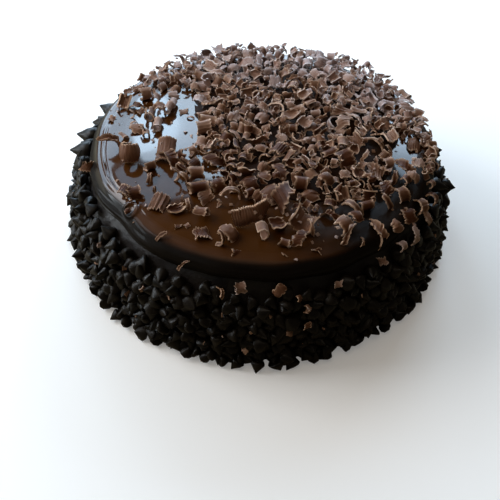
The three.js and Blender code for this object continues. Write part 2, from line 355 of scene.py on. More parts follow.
def outer_glaze_rings():
    columns = []
    for angle in glaze_angles:
        line = rim_outline(angle, lip_shares)
        along = np.gradient(line, axis=0)
        along /= np.linalg.norm(along, axis=1)[:, None]
        outward = np.stack([along[:, 1], -along[:, 0]], -1)
        columns.append(line + outward * lip_relief(angle, lip_shares)[:, None])
    columns = np.array(columns)
    rings = [on_cake(glaze_angles, *columns[:, row].T) for row in range(len(lip_shares))]
    edge = columns[:, -1, 0].min()
    for radius in np.linspace(edge - 2.4, 2.6, 30):
        rings.append(on_cake(glaze_angles, radius, dome_height(radius)))
    for ring in rings[30:]:  # the lip's upper rings take part, so no step shows at the pool's edge
        away = np.linalg.norm(ring[:, :2], axis=1)
        ring[:, 2] += sags(ring) * np.clip((84 - away) / 14, 0, 1)
    middle = on_cake(np.zeros(1), np.zeros(1), np.full(1, dome_height(0.0)))
    middle[:, 2] += sags(middle)
    return rings + [middle]


def under_glaze_rings():
    rings = [on_cake(np.zeros(1), np.zeros(1), np.full(1, dome_height(0.0) - GLAZE_DEPTH))]
    for radius in (24.0, 48.0, 66.0):
        rings.append(on_cake(glaze_angles, radius, dome_height(radius) - GLAZE_DEPTH))
    for radius, height in ((77.0, 52.4), (81.3, 51.2), (83.3, 49.2), (84.4, 47.9)):
        crease = CREASE_DEPTH * bump_at(glaze_angles, CREASE_AT, CREASE_WIDTH)
        rings.append(on_cake(glaze_angles, radius - crease, height))
    return rings


def smooth_step(value, start, end):
    share = np.clip((value - start) / (end - start), 0, 1)
    return share * share * (3 - 2 * share)


outer_rings, under_rings = outer_glaze_rings(), under_glaze_rings()
glaze_rings = outer_rings + under_rings
glaze = make_object("poured_glaze", *shell_through(glaze_rings, joined=True))
glaze_top = max(vertex.co.z for vertex in glaze.data.vertices) / MM
print("glaze:", len(glaze.data.polygons), "faces, top at", round(glaze_top, 1))

# %% [markdown]
# The glaze is painted almost black on its wall and at the front right, which is painted shade, and it
# is brown on top. It dried dull round the front, while the left wall, its bead and the pool stayed
# wet. Two numbers on its points say so, dark and gloss, and the finish reads them.

# %% Where the glaze is dark and where it is wet
pool_rings = len(outer_rings) - len(lip_shares)
ring_shares = [*lip_shares, *np.ones(pool_rings), *np.zeros(len(under_rings))]
share_of = np.repeat(ring_shares, [len(ring) for ring in glaze_rings])
glaze_points = np.concatenate(glaze_rings)
heading_of = np.degrees(np.arctan2(glaze_points[:, 1], glaze_points[:, 0]))
# The wall and the front right are darkened in the glaze's colour as painted shade.
wall_painted_shade = 1 - smooth_step(share_of, 0.50, 0.74)
towards_front = smooth_step(-glaze_points[:, 1], -5, 25)
right_painted_shade = 0.93 * smooth_step(glaze_points[:, 0], 12, 52) * towards_front
store(glaze, "dark", np.maximum(wall_painted_shade, right_painted_shade))

on_left = left_side(heading_of)
wet_bead = ridge(share_of, 0.05, 0.04) * on_left
behind_drip = 1 - smooth_step(heading_of, -152, -143) * (heading_of < 0)
wet_wall = 0.7 * on_left * behind_drip * smooth_step(share_of, 0.30, 0.50)
round_front = smooth_step(heading_of, -140, -134) * (1 - smooth_step(heading_of, -60, -35))
dull_lip = 0.92 * round_front * (1 - smooth_step(share_of, 0.74, 0.99))
wet_top = smooth_step(share_of, 0.50, 0.70) * (1 - dull_lip) * (1 - 0.6 * right_painted_shade)
store(glaze, "gloss", np.maximum(wet_top, np.maximum(wet_bead, wet_wall)))
print("dark points:", int((wall_painted_shade > 0.5).sum()), "of", len(glaze_points))

# %% [markdown]
# ## Geometry Nodes that set shapes out
#
# More than a thousand drops and shavings repeat a few shapes. Geometry Nodes place them: one tree
# scatters shapes over a surface, and a second one puts shapes on points that already carry a turn
# and a size. Both end in Realize Instances and Set Material, so the result is ordinary mesh. The
# number called tone is drawn once for each piece, and the finishes use it to vary the colour.

# %% Tree helpers
def put(tree, kind, feeds=None, **settings):
    """A new node. Settings are its own choices, and feeds are values or links for its sockets."""
    node = tree.nodes.new(kind)
    for label, value in settings.items():
        setattr(node, label, value)
    for label, source in (feeds or {}).items():
        if isinstance(source, bpy.types.NodeSocket):
            tree.links.new(source, node.inputs[label])
        else:
            node.inputs[label].default_value = source
    return node


def start_tree(name, sockets):
    """A new tree with a geometry in and out and the named inputs."""
    tree = bpy.data.node_groups.new(name, "GeometryNodeTree")
    tree.interface.new_socket("Geometry", in_out="INPUT", socket_type="NodeSocketGeometry")
    for label, kind in sockets:
        tree.interface.new_socket(label, in_out="INPUT", socket_type=kind)
    tree.interface.new_socket("Geometry", in_out="OUTPUT", socket_type="NodeSocketGeometry")
    return tree, tree.nodes.new("NodeGroupInput").outputs


def chance(tree, kind, seed, shift, limits=None):
    """A random number or vector for each point, with its own stretch of the seed."""
    own_seed = put(tree, "ShaderNodeMath", {0: seed, 1: shift}).outputs[0]
    return put(tree, "FunctionNodeRandomValue", {"Seed": own_seed, **(limits or {})}, data_type=kind)


def end_tree(tree, given, points, index, rotation, scale):
    """Puts one of the shapes on each point, turns them all into mesh and gives it the material."""
    shapes = put(tree, "GeometryNodeCollectionInfo", {
        "Collection": given["Shapes"], "Separate Children": True, "Reset Children": True})
    placed = put(tree, "GeometryNodeInstanceOnPoints", {
        "Points": points, "Instance": shapes.outputs["Instances"], "Pick Instance": True,
        "Instance Index": index, "Rotation": rotation, "Scale": scale})
    real = put(tree, "GeometryNodeRealizeInstances", {"Geometry": placed.outputs["Instances"]})
    finished = put(tree, "GeometryNodeSetMaterial", {
        "Geometry": real.outputs["Geometry"], "Material": given["Material"]})
    put(tree, "NodeGroupOutput", {"Geometry": finished.outputs["Geometry"]})


def run_tree(tree, base, name, settings):
    """Runs the tree on base and returns what it made as a plain mesh object."""
    modifier = base.modifiers.new(tree.name, "NODES")
    modifier.node_group = tree
    for item in tree.interface.items_tree:
        if item.item_type == "SOCKET" and item.in_out == "INPUT" and item.name in settings:
            modifier[item.identifier] = settings[item.name]
    graph = bpy.context.evaluated_depsgraph_get()
    made = bpy.data.meshes.new_from_object(
        base.evaluated_get(graph), preserve_all_data_layers=True, depsgraph=graph)
    made.name = name
    bpy.data.objects.remove(base)
    piece = bpy.data.objects.new(name, made)
    bpy.context.scene.collection.objects.link(piece)
    return piece


print("tree helpers ready")

# %% A tree that scatters shapes over a surface
scatter_tree, given = start_tree("scatter over a surface", [
    ("Shapes", "NodeSocketCollection"), ("Material", "NodeSocketMaterial"),
    ("Spacing", "NodeSocketFloat"), ("Tilt", "NodeSocketFloat"),
    ("Smallest", "NodeSocketFloat"), ("Largest", "NodeSocketFloat"),
    ("Lowest", "NodeSocketFloat"), ("Highest", "NodeSocketFloat"), ("Seed", "NodeSocketInt"),
])
MOST_POINTS = 400000.0  # for each square metre, before the spacing thins them
weight = put(scatter_tree, "GeometryNodeInputNamedAttribute", {"Name": "crowd"})
spread = put(scatter_tree, "GeometryNodeDistributePointsOnFaces", {
    "Mesh": given["Geometry"], "Distance Min": given["Spacing"], "Density Max": MOST_POINTS,
    "Density Factor": weight.outputs["Attribute"], "Seed": given["Seed"]}, distribute_method="POISSON")

any_turn = chance(scatter_tree, "FLOAT_VECTOR", given["Seed"], 11, {"Min": (-1, -1, -1)})
tilt_range = put(scatter_tree, "ShaderNodeCombineXYZ", {
    "X": given["Tilt"], "Y": given["Tilt"], "Z": math.pi})
turn = put(scatter_tree, "ShaderNodeVectorMath", {
    0: any_turn.outputs["Value"], 1: tilt_range.outputs["Vector"]}, operation="MULTIPLY")
own_turn = put(scatter_tree, "FunctionNodeEulerToRotation", {"Euler": turn.outputs["Vector"]})
leaning = put(scatter_tree, "FunctionNodeRotateRotation", {
    "Rotation": spread.outputs["Rotation"], "Rotate By": own_turn.outputs["Rotation"]},
    rotation_space="LOCAL")

lift = chance(scatter_tree, "FLOAT", given["Seed"], 23, {2: given["Lowest"], 3: given["Highest"]})
raised = put(scatter_tree, "ShaderNodeVectorMath", {
    "Vector": spread.outputs["Normal"], "Scale": lift.outputs[1]}, operation="SCALE")
moved = put(scatter_tree, "GeometryNodeSetPosition", {
    "Geometry": spread.outputs["Points"], "Offset": raised.outputs["Vector"]})
tone = chance(scatter_tree, "FLOAT", given["Seed"], 37)
toned = put(scatter_tree, "GeometryNodeStoreNamedAttribute", {
    "Geometry": moved.outputs["Geometry"], "Name": "tone", "Value": tone.outputs[1]},
    data_type="FLOAT", domain="POINT")

size = chance(scatter_tree, "FLOAT", given["Seed"], 41, {2: given["Smallest"], 3: given["Largest"]})
choice = chance(scatter_tree, "INT", given["Seed"], 53, {5: 999})
end_tree(scatter_tree, given, toned.outputs["Geometry"], choice.outputs[2],
         leaning.outputs["Rotation"], size.outputs[1])
print("scatter tree:", len(scatter_tree.nodes), "nodes")

# %% A tree that puts shapes on points that know their turn and size
setting_tree, given = start_tree("set shapes on points", [
    ("Shapes", "NodeSocketCollection"), ("Material", "NodeSocketMaterial"),
])
known = {}
for label, kind in (("spin", "FLOAT_VECTOR"), ("size", "FLOAT"), ("shape", "INT")):
    node = put(setting_tree, "GeometryNodeInputNamedAttribute", {"Name": label}, data_type=kind)
    known[label] = node.outputs["Attribute"]
own_turn = put(setting_tree, "FunctionNodeEulerToRotation", {"Euler": known["spin"]})
end_tree(setting_tree, given, given["Geometry"], known["shape"],
         own_turn.outputs["Rotation"], known["size"])
print("setting tree:", len(setting_tree.nodes), "nodes")

# %% [markdown]
# ## Finishes
#
# All of it is chocolate, and the same three effects make each kind look real. Cooling leaves a
# mottled surface, fine grain catches the light, and broken edges turn pale with dust. Each effect
# is a node group that is built once and placed in every finish with its own values.

# %% Shader helpers
def start_group(name, inputs, output, kind="NodeSocketFloat"):
    """A new effect with its named inputs, a place first, and the one value that it puts out."""
    group = bpy.data.node_groups.new(name, "ShaderNodeTree")
    group.interface.new_socket("Vector", in_out="INPUT", socket_type="NodeSocketVector")
    for label, value in inputs.items():
        socket = group.interface.new_socket(label, in_out="INPUT", socket_type="NodeSocketFloat")
        socket.default_value = value
    group.interface.new_socket(output, in_out="OUTPUT", socket_type=kind)
    return group, group.nodes.new("NodeGroupInput").outputs


def end_group(group, label, value):
    put(group, "NodeGroupOutput", {label: value})
    print("effect:", group.name)


def compute(tree, operation, first, second, clamp=False):
    node = put(tree, "ShaderNodeMath", {0: first, 1: second}, operation=operation, use_clamp=clamp)
    return node.outputs[0]


def noise(tree, vector, scale, detail=3.0, roughness=0.55):
    return put(tree, "ShaderNodeTexNoise", {
        "Vector": vector, "Scale": scale, "Detail": detail, "Roughness": roughness}).outputs["Fac"]


print("shader helpers ready")

# %% Mottling, grain and dust
mottling, given = start_group("cooled chocolate mottling", {"Scale": 90.0, "Contrast": 1.6}, "Mask")
broad = noise(mottling, given["Vector"], given["Scale"], 4.0)
finer = noise(mottling, given["Vector"], compute(mottling, "MULTIPLY", given["Scale"], 4.3), 3.0)
broad_share = compute(mottling, "MULTIPLY", broad, 0.65)
finer_share = compute(mottling, "MULTIPLY", finer, 0.35)
centred = compute(mottling, "SUBTRACT", compute(mottling, "ADD", broad_share, finer_share), 0.5)
stretched = compute(mottling, "MULTIPLY", centred, given["Contrast"])
end_group(mottling, "Mask", compute(mottling, "ADD", stretched, 0.5, clamp=True))

grain, given = start_group("fine chocolate grain", {"Scale": 900.0, "Pits": 0.3}, "Height")
crumb = noise(grain, given["Vector"], given["Scale"], 5.0, 0.65)
pore_scale = compute(grain, "MULTIPLY", given["Scale"], 0.5)
pores = put(grain, "ShaderNodeTexVoronoi", {"Vector": given["Vector"], "Scale": pore_scale})
pitted = compute(grain, "MULTIPLY", pores.outputs["Distance"], given["Pits"])
end_group(grain, "Height", compute(grain, "ADD", crumb, pitted))

dust, given = start_group(
    "pale dust on broken edges", {"Edge": 0.0, "Tone": 0.5, "Amount": 0.5}, "Mask")
speckle = noise(dust, given["Vector"], 700.0, 4.0, 0.7)
cloud = noise(dust, given["Vector"], 160.0, 2.0)
rubbed = compute(dust, "MULTIPLY", given["Edge"], compute(dust, "ADD", speckle, 0.35))
clouded = compute(dust, "MULTIPLY", cloud, given["Tone"])
veil = compute(dust, "MULTIPLY", clouded, given["Amount"])
end_group(dust, "Mask", compute(dust, "ADD", rubbed, veil, clamp=True))

# %% [markdown]
# A finish is a Principled surface whose colour moves between a dark and a light tone with the
# mottling. Numbers that are the same all over, such as the gloss of the clear coat, are set on the
# shader's own socket.

# %% A finish from the shared effects
def start_finish(name, fixed):
    """A Principled material with its fixed values, and the place that its effects read."""
    material = bpy.data.materials.new(name)
    material.use_nodes = True
    tree = material.node_tree
    shader = tree.nodes["Principled BSDF"]
    for label, value in fixed.items():
        shader.inputs[label].default_value = value
    return material, tree, shader, tree.nodes.new("ShaderNodeTexCoord").outputs["Object"]


def effect(tree, group, where, **values):
    return put(tree, "ShaderNodeGroup", {"Vector": where, **values}, node_tree=group).outputs[0]


def blend(tree, mask, low, high):
    """A colour between two others, which are numbers or come from the tree."""
    low, high = [(*end, 1.0) if isinstance(end, tuple) else end for end in (low, high)]
    return put(tree, "ShaderNodeMix", {"Factor": mask, 6: low, 7: high}, data_type="RGBA").outputs[2]


def spread_value(tree, mask, low, high, start=0.0, end=1.0):
    return put(tree, "ShaderNodeMapRange", {
        "Value": mask, "From Min": start, "From Max": end, "To Min": low, "To Max": high,
    }).outputs["Result"]


def attribute(tree, name):
    return put(tree, "ShaderNodeAttribute", attribute_name=name).outputs["Fac"]


def wear(tree, shader, colour, roughness, height, strength, distance):
    """Links a colour, a roughness and a relief to the surface."""
    relief = put(tree, "ShaderNodeBump", {"Height": height, "Strength": strength, "Distance": distance})
    tree.links.new(colour, shader.inputs["Base Color"])
    tree.links.new(roughness, shader.inputs["Roughness"])
    tree.links.new(relief.outputs["Normal"], shader.inputs["Normal"])
    print("finish ready with", len(tree.nodes), "nodes")


print("finish helpers ready")

# %% The ganache under the drops
ganache, tree, shader, where = start_finish("ganache_coat", {"IOR": 1.46})
patches = effect(tree, mottling, where, Scale=60.0, Contrast=2.0)
colour = blend(tree, patches, (0.006, 0.0035, 0.002), (0.014, 0.008, 0.005))
crumbs = effect(tree, grain, where, Scale=500.0, Pits=0.5)
wear(tree, shader, colour, spread_value(tree, patches, 0.42, 0.62), crumbs, 0.5, 0.0006)

# %% The dark drops
dark_drop, tree, shader, where = start_finish("dark_drops", {"IOR": 1.45, "Specular IOR Level": 0.22})
own_tone = attribute(tree, "tone")
patches = effect(tree, mottling, where, Scale=220.0, Contrast=1.8)
mixed = compute(tree, "MULTIPLY", compute(tree, "ADD", patches, own_tone), 0.5)
colour = blend(tree, mixed, (0.0030, 0.0020, 0.0010), (0.0095, 0.0064, 0.0040))
dusty = effect(tree, dust, where, Edge=0.0, Tone=own_tone, Amount=0.16)
colour = blend(tree, dusty, colour, (0.06, 0.045, 0.033))
crumbs = effect(tree, grain, where, Scale=800.0, Pits=0.2)
wear(tree, shader, colour, spread_value(tree, mixed, 0.24, 0.5), crumbs, 0.25, 0.0003)

# %% [markdown]
# The glaze has a brown for the pool and a near black, which is painted shade, for the wall and the
# front right. Where it stayed wet, a clear coat reflects the room sharply, and the surface below it is
# smoother too.

# %% The glossy glaze
glossy, tree, shader, where = start_finish("chocolate_glaze", {
    "IOR": 1.42, "Specular IOR Level": 0.08, "Coat Roughness": 0.07, "Coat IOR": 1.47})
dark, gloss = attribute(tree, "dark"), attribute(tree, "gloss")
patches = effect(tree, mottling, where, Scale=28.0, Contrast=1.5)
brown = blend(tree, patches, (0.042, 0.0128, 0.0018), (0.067, 0.0218, 0.0036))
# The near black is painted shade on the wall and at the front right.
black = blend(tree, patches, (0.0035, 0.0022, 0.0012), (0.0080, 0.0048, 0.0026))
colour = blend(tree, dark, brown, black)
specks = noise(tree, where, 1300.0, 2.0)
sharp_specks = spread_value(tree, compute(tree, "GREATER_THAN", specks, 0.74), 0.0, 0.35)
colour = blend(tree, sharp_specks, colour, (0.12, 0.070, 0.045))
dull_share = spread_value(tree, gloss, 0.32, 0.0)
roughness = compute(tree, "ADD", spread_value(tree, patches, 0.16, 0.30), dull_share)
tree.links.new(spread_value(tree, gloss, 0.05, 0.78), shader.inputs["Coat Weight"])
skin = compute(tree, "ADD", noise(tree, where, 55.0, 2.0), compute(tree, "MULTIPLY", specks, 0.05))
wear(tree, shader, colour, roughness, skin, 0.35, 0.0012)

# %% [markdown]
# A shaving is darker or lighter by its own tone, which is partly random and partly painted light that
# grows towards the back. Its rims were rubbed to a warm pale dust, and the lightest shavings carry a
# cooler pale colour, partly bloom and partly painted sheen. The crumbs inside the heap wear the same
# finish, darker, as painted shade.

# %% The milk chocolate of the shavings
def shaving_finish(name, low, high, rims, bloom_and_painted_sheen, veil, shine):
    material, tree, shader, where = start_finish(name, {"IOR": 1.45, "Specular IOR Level": shine})
    own_tone = attribute(tree, "tone")
    edge = compute(tree, "POWER", attribute(tree, "edge"), 2.2)
    patches = effect(tree, mottling, where, Scale=260.0, Contrast=1.6)
    tone_share = compute(tree, "MULTIPLY", own_tone, 0.72)
    mixed = compute(tree, "ADD", compute(tree, "MULTIPLY", patches, 0.32), tone_share)
    dusty = effect(tree, dust, where, Edge=edge, Tone=own_tone, Amount=veil)
    # On high-tone shavings, mostly those at the back, the veil and the cooler pale colour are partly bloom
    # and partly painted sheen.
    pale = blend(tree, compute(tree, "POWER", own_tone, 3.0), rims, bloom_and_painted_sheen)
    colour = blend(tree, dusty, blend(tree, mixed, low, high), pale)
    crumbs = effect(tree, grain, where, Scale=1100.0, Pits=0.35)
    wear(tree, shader, colour, spread_value(tree, patches, 0.38, 0.62), crumbs, 0.45, 0.0003)
    return material


milk_shaving = shaving_finish(
    "chocolate_shavings", low=(0.046, 0.0118, 0.0026), high=(0.220, 0.081, 0.034),
    rims=(0.53, 0.335, 0.215), bloom_and_painted_sheen=(0.52, 0.440, 0.425), veil=0.85, shine=0.15)
# The crumbs' darker colours paint the shade deep in the heap.
heap_core_shade = shaving_finish(
    "heap_core_painted_shade", low=(0.016, 0.0062, 0.0024), high=(0.050, 0.0200, 0.0080),
    rims=(0.12, 0.080, 0.055), bloom_and_painted_sheen=(0.12, 0.080, 0.055), veil=0.30, shine=0.04)

# %% [markdown]
# ## The drops on the side
#
# Baking drops are small cones with a flat round foot, a rounded shoulder and a drawn-out tip. A
# baker presses them on by the handful, so they point every way, overlap and pile up under the
# glaze. A drop needs only a few dozen faces at this size. Five drops that differ in height, lean
# and belly are enough, because no two land alike.

# %% Five drops
def revolve_drop(seed, radius, height, lean):
    """A drop with its foot on z = 0: nine sides and six levels, the tip leaning to one side."""
    rng = np.random.default_rng(seed)
    levels = [(0.86, 0.0), (1.0, 0.09), (0.93, 0.27), (0.66, 0.5), (0.34, 0.74), (0.11, 0.93)]
    turn = np.arange(9) * 2 * math.pi / 9
    rings = [np.array([[0.0, 0.0, 0.04]])]
    for reach, share in levels:
        belly = radius * reach * (1 + rng.uniform(-0.05, 0.05, 9))
        bend = lean * share**2
        level = np.full(9, height * share)
        rings.append(np.stack([belly * np.cos(turn) + bend, belly * np.sin(turn), level], -1))
    rings.append(np.array([[lean, 0.0, height]]))
    return shell_through(rings)


def shape_collection(name, made):
    """A collection of shapes that is only drawn from, never shown by itself."""
    collection = bpy.data.collections.new(name)
    for thing in made:
        bpy.context.scene.collection.objects.unlink(thing)
        collection.objects.link(thing)
    return collection


drop_measures = [(3.7, 6.6, 0.2), (4.1, 6.0, 0.7), (3.5, 7.4, 0.4), (4.3, 5.6, 0.3), (3.9, 7.0, 1.1)]
drop_shapes = shape_collection("drop shapes", [
    make_object(f"drop {k}", *revolve_drop(60 + k, *measures), sharp=60)
    for k, measures in enumerate(drop_measures)
])
DROP_POINTS = len(drop_shapes.objects[0].data.vertices)

# %% [markdown]
# The drops are scattered three times over a bed that follows the side: a close layer pressed into
# the ganache with the tips mostly out, a looser layer caught on top of it at any angle, and a last
# ring that rolled down and lies round the foot.

# %% The beds the drops are pressed on
def band(name, heights, radii, crowd):
    rings = [on_cake(cake_angles, radius, height) for radius, height in zip(radii, heights)]
    bed = make_object(name, *shell_through(rings))
    store(bed, "crowd", np.repeat(crowd, CAKE_SEGMENTS))
    return bed


def pile(height):
    return 3.2 * (height / 45.3) ** 2.5


pressed_heights = np.linspace(1.5, 42.5, 14)
pressed_radii = side_radius(pressed_heights) + pile(pressed_heights) - 0.2
loose_radii = pressed_radii + 2.4
foot_heights = np.array([2.2, 4.2, 6.4])
foot_radii = np.array([100.6, 99.8, 99.0])
print("bed radii:", pressed_radii.round(1).tolist())

# %% Scatter the drops
drop_layers = []
for layer, (heights, radii, spacing, tilt, lowest, highest) in enumerate([
    (pressed_heights, pressed_radii, 5.3, 0.95, -1.0, 0.8),
    (pressed_heights[1:-1], loose_radii[1:-1], 9.0, 2.2, -0.6, 0.8),
    (foot_heights, foot_radii, 7.2, 2.4, -1.0, 0.6),
]):
    bed = band(f"bed {layer}", heights, radii, np.ones(len(heights)))
    drop_layers.append(run_tree(scatter_tree, bed, f"drop_layer_{layer}", {
        "Shapes": drop_shapes, "Material": dark_drop, "Spacing": spacing * MM, "Tilt": tilt,
        "Smallest": 0.82, "Largest": 1.08, "Lowest": lowest * MM, "Highest": highest * MM,
        "Seed": 7 + layer,
    }))
    print("layer", layer, "has", len(drop_layers[-1].data.vertices) // DROP_POINTS, "drops")

# %% [markdown]
# A scatter knows nothing of the table, of the glaze above or of the cake's largest size. A last
# step nudges whole drops: up until they clear the table, down until they clear the skirt, and in
# until they stay within the outline. A drop keeps its points together in the mesh, so this is a
# sum over rows of an array.

# %% Nudge whole drops
OUTER_LIMIT, UNDER_SKIRT, ABOVE_TABLE = 104.3, 46.3, 0.15


def nudge_drops(piece):
    count = len(piece.data.vertices)
    flat = np.empty(count * 3, dtype=np.float32)
    piece.data.vertices.foreach_get("co", flat)
    drops = flat.reshape(-1, DROP_POINTS, 3) / MM
    highest = drops[..., 2].max(1)
    drops[..., 2] -= np.clip(highest - UNDER_SKIRT, 0, None)[:, None]
    drops[..., 2] += np.clip(ABOVE_TABLE - drops[..., 2].min(1), 0, None)[:, None]
    away = np.linalg.norm(drops[..., :2], axis=2).max(1)
    middle = drops[..., :2].mean(1)
    inward = middle / np.linalg.norm(middle, axis=1)[:, None]
    drops[..., :2] -= (inward * np.clip(away - OUTER_LIMIT, 0, None)[:, None])[:, None, :]
    piece.data.vertices.foreach_set("co", (drops * MM).astype(np.float32).ravel())
    piece.data.update()


print("drops stay within", OUTER_LIMIT, "mm of the middle")

# %% [markdown]
# Under the lip, at the left and the right, some larger drops stand out by themselves. They are
# placed one by one, and the second tree sets them out, as it later does the shavings. Each row has
# a place, a turn, a size and the number of a shape. A row's tone is drawn here too.

# %% Set shapes out by rows
TONE_SPREAD, PALE_FROM, LIP_LEVEL = 0.40, -50.0, 50.0


def set_out(label, collection, rows, material, tone_with_painted_light=(0.5, 0.0, 0.0, 0.0)):
    """The second tree's run; the last argument is the mean tone, its growth per millimetre in x and in y,
    and what is added to the pieces that lie below the lip. The growth in y paints light: the shavings turn
    paler towards the window at the back."""
    rows = np.array(rows)
    seeds = bpy.data.meshes.new(label + " points")
    seeds.from_pydata((rows[:, :3] * MM).tolist(), [], [])
    # The growth with y paints light: the tone turns paler towards the window at the back.
    far_back = np.maximum(rows[:, 1], PALE_FROM)
    mean_tone = tone_with_painted_light[0] + rows[:, 0] * tone_with_painted_light[1] + far_back * tone_with_painted_light[2]
    mean_tone = mean_tone + np.where(rows[:, 2] < LIP_LEVEL, tone_with_painted_light[3], 0.0)
    own = np.random.default_rng(len(rows)).uniform(-TONE_SPREAD, TONE_SPREAD, len(rows))
    for name, kind, field, values in (
        ("spin", "FLOAT_VECTOR", "vector", rows[:, 3:6]), ("size", "FLOAT", "value", rows[:, 6]),
        ("shape", "INT", "value", rows[:, 7]),
        ("tone", "FLOAT", "value", np.clip(mean_tone + own, 0, 1)),
    ):
        layer = seeds.attributes.new(name, kind, "POINT")
        typed = values.astype(np.int32 if kind == "INT" else np.float32)
        layer.data.foreach_set(field, typed.ravel())
    base = bpy.data.objects.new(label + " points", seeds)
    bpy.context.scene.collection.objects.link(base)
    return run_tree(setting_tree, base, label, {"Shapes": collection, "Material": material})


print("rows of place, turn, size and shape can be set out")

# %% Large drops at the shoulder
LARGE_DROPS = [  # heading, distance, height, lean, size and shape
    (153.5, 89.5, 44.4, 78, 1.45, 2), (161.0, 88.5, 45.0, 92, 1.3, 0),
    (168.0, 89.0, 43.6, 86, 1.6, 2), (175.5, 88.5, 42.6, 88, 1.6, 2),
    (146.0, 89.5, 43.0, 76, 1.2, 0), (183.0, 89.0, 42.0, 95, 1.25, 1),
    (-12.0, 88.5, 42.0, 85, 1.2, 2), (14.0, 89.0, 43.0, 92, 1.2, 0),
]
SHOULDER_SHIFT = 1.5  # how far the leaning axis has moved in x at that height
large_drops = []
for heading, reach, height, lean, size, shape in LARGE_DROPS:
    turn = math.radians(heading)
    place = (reach * math.cos(turn) + SHOULDER_SHIFT, reach * math.sin(turn), height)
    large_drops.append((*place, 0.0, math.radians(lean), turn, size, shape))
drop_layers.append(set_out("drop_spikes", drop_shapes, large_drops, dark_drop))
for piece in drop_layers:
    nudge_drops(piece)
    hand_over(piece, "drop_coat")
print("drops in all:", sum(len(piece.data.vertices) for piece in drop_layers) // DROP_POINTS)

# %% [markdown]
# ## One rule for every shaving
#
# A shaving is a thin sheet that the scraper pushed off a block. It crumpled into ribs like an
# accordion and curled as it came, and its ends broke off ragged. One function makes all kinds: a
# sheet wrapped part of the way round an axis, with a wall, ribs along the axis, torn ends, and a
# flare, twist or pitch. A long turn gives a quill, a short turn on a large radius a flake, a narrow
# strip with pitch a hook, and a waisted one a scoop. The edge number marks rims and crests, which
# the finish turns pale.

# %% The curled sheet
def curled_sheet(seed, length, radius, turn, wall, ribs=0, rib_depth=0.0, ragged=0.5, flare=0.0,
                 spiral=0.0, twist=0.0, pitch=0.0, teeth=0.0, along=4, around=16):
    """Points, faces and edge numbers of a sheet wrapped round x, in millimetres and degrees."""
    rng = np.random.default_rng(seed)
    u = np.linspace(0, 1, along + 1)[:, None]
    v = np.linspace(0, 1, around + 1)[None, :]
    coarse = rng.uniform(0, 50, 6)
    torn = []
    for k in (0, 1):
        waves = 0.6 * ripple(seed + 90 + k, v * 9 + coarse[k])
        torn.append(ragged * (waves + rng.uniform(-0.6, 0.6, v.shape)))
    saw = teeth * (((v * max(ribs, 5) + rng.uniform()) % 1.0) - 0.5)
    x = (u - 0.5) * length + (1 - u) * (torn[0] + saw) + u * (torn[1] + saw) + pitch * (v - 0.5)
    bitten = ragged / radius * rng.uniform(-0.7, 0.7, (along + 1, 2))
    phase = math.radians(turn) * (v - 0.5) + twist * (u - 0.5)
    phase = phase + bitten[:, :1] * (1 - v) ** 3 + bitten[:, 1:] * v**3
    reach = radius * (1 + flare * (2 * u - 1) ** 2) * (1 - spiral * v)
    reach = reach * (1 + 0.06 * ripple(seed + 93, u * 3, v * 5))
    wave = np.zeros_like(phase)
    if ribs:
        drift = 0.16 * ripple(seed + 94, v * 12) + 0.10 * (u - 0.5)
        fold = np.abs(((v * ribs + drift) % 1.0) * 2 - 1) * 2 - 1
        wave = fold * (0.75 + 0.35 * ripple(seed + 95, v * 7, u * 2))
    reach = reach + 0.5 * rib_depth * wave
    thin = wall * (0.82 + 0.18 * ripple(seed + 96, u * 4, v * 6)) * 0.5
    sheets = []
    for side in (1, -1):
        around_axis = reach + side * thin
        sheets.append(np.stack(np.broadcast_arrays(
            x, around_axis * np.sin(phase), around_axis * np.cos(phase)), -1).reshape(-1, 3))
    columns = around + 1
    count = (along + 1) * columns
    outer = np.arange(count).reshape(along + 1, columns)
    inner = outer + count
    faces = []
    for i in range(along):
        for j in range(around):
            faces.append((outer[i, j], outer[i + 1, j], outer[i + 1, j + 1], outer[i, j + 1]))
            faces.append((inner[i, j], inner[i, j + 1], inner[i + 1, j + 1], inner[i + 1, j]))
    for j in range(around):
        faces.append((outer[0, j], outer[0, j + 1], inner[0, j + 1], inner[0, j]))
        faces.append((outer[-1, j + 1], outer[-1, j], inner[-1, j], inner[-1, j + 1]))
    for i in range(along):
        faces.append((outer[i + 1, 0], outer[i, 0], inner[i, 0], inner[i + 1, 0]))
        faces.append((outer[i, -1], outer[i + 1, -1], inner[i + 1, -1], inner[i, -1]))
    crest = np.clip(wave, 0, 1) * 0.14
    rim = np.zeros((along + 1, columns))
    rim[0], rim[-1], rim[:, 0], rim[:, -1] = 1, 1, 1, 1
    edge = np.concatenate([np.maximum(rim, crest).ravel(), np.maximum(rim, 0.5 * crest).ravel()])
    points = np.concatenate(sheets)
    points -= (points.max(0) + points.min(0)) / 2
    return points, [tuple(int(corner) for corner in face) for face in faces], edge


print("a test sheet has", len(curled_sheet(1, 8, 3, 200, 0.8, ribs=8, rib_depth=0.4)[1]), "faces")

# %% Sheets that face outwards
def volume(points, faces):
    """Six times the enclosed volume; it is positive when the faces point outwards."""
    total = 0.0
    for face in faces:
        for k in range(1, len(face) - 1):
            a, b, c = points[face[0]], points[face[k]], points[face[k + 1]]
            total += float(np.dot(a, np.cross(b, c)))
    return total


def outward_sheet(**measures):
    """A curled sheet whose faces point outwards, whichever way it twists."""
    points, faces, edge = curled_sheet(**measures)
    if volume(points, faces) < 0:
        faces = [face[::-1] for face in faces]
    return points, faces, edge


def make_sheet(name, measures, dusting=1.0):
    points, faces, edge = outward_sheet(**measures)
    thing = make_object(name, points, faces, sharp=42)
    store(thing, "edge", dusting * edge)
    return thing


tested = outward_sheet(seed=1, length=8, radius=3, turn=200, wall=0.8)
print("a smooth sheet holds", round(volume(*tested[:2]) / 6, 1), "cubic mm of chocolate")

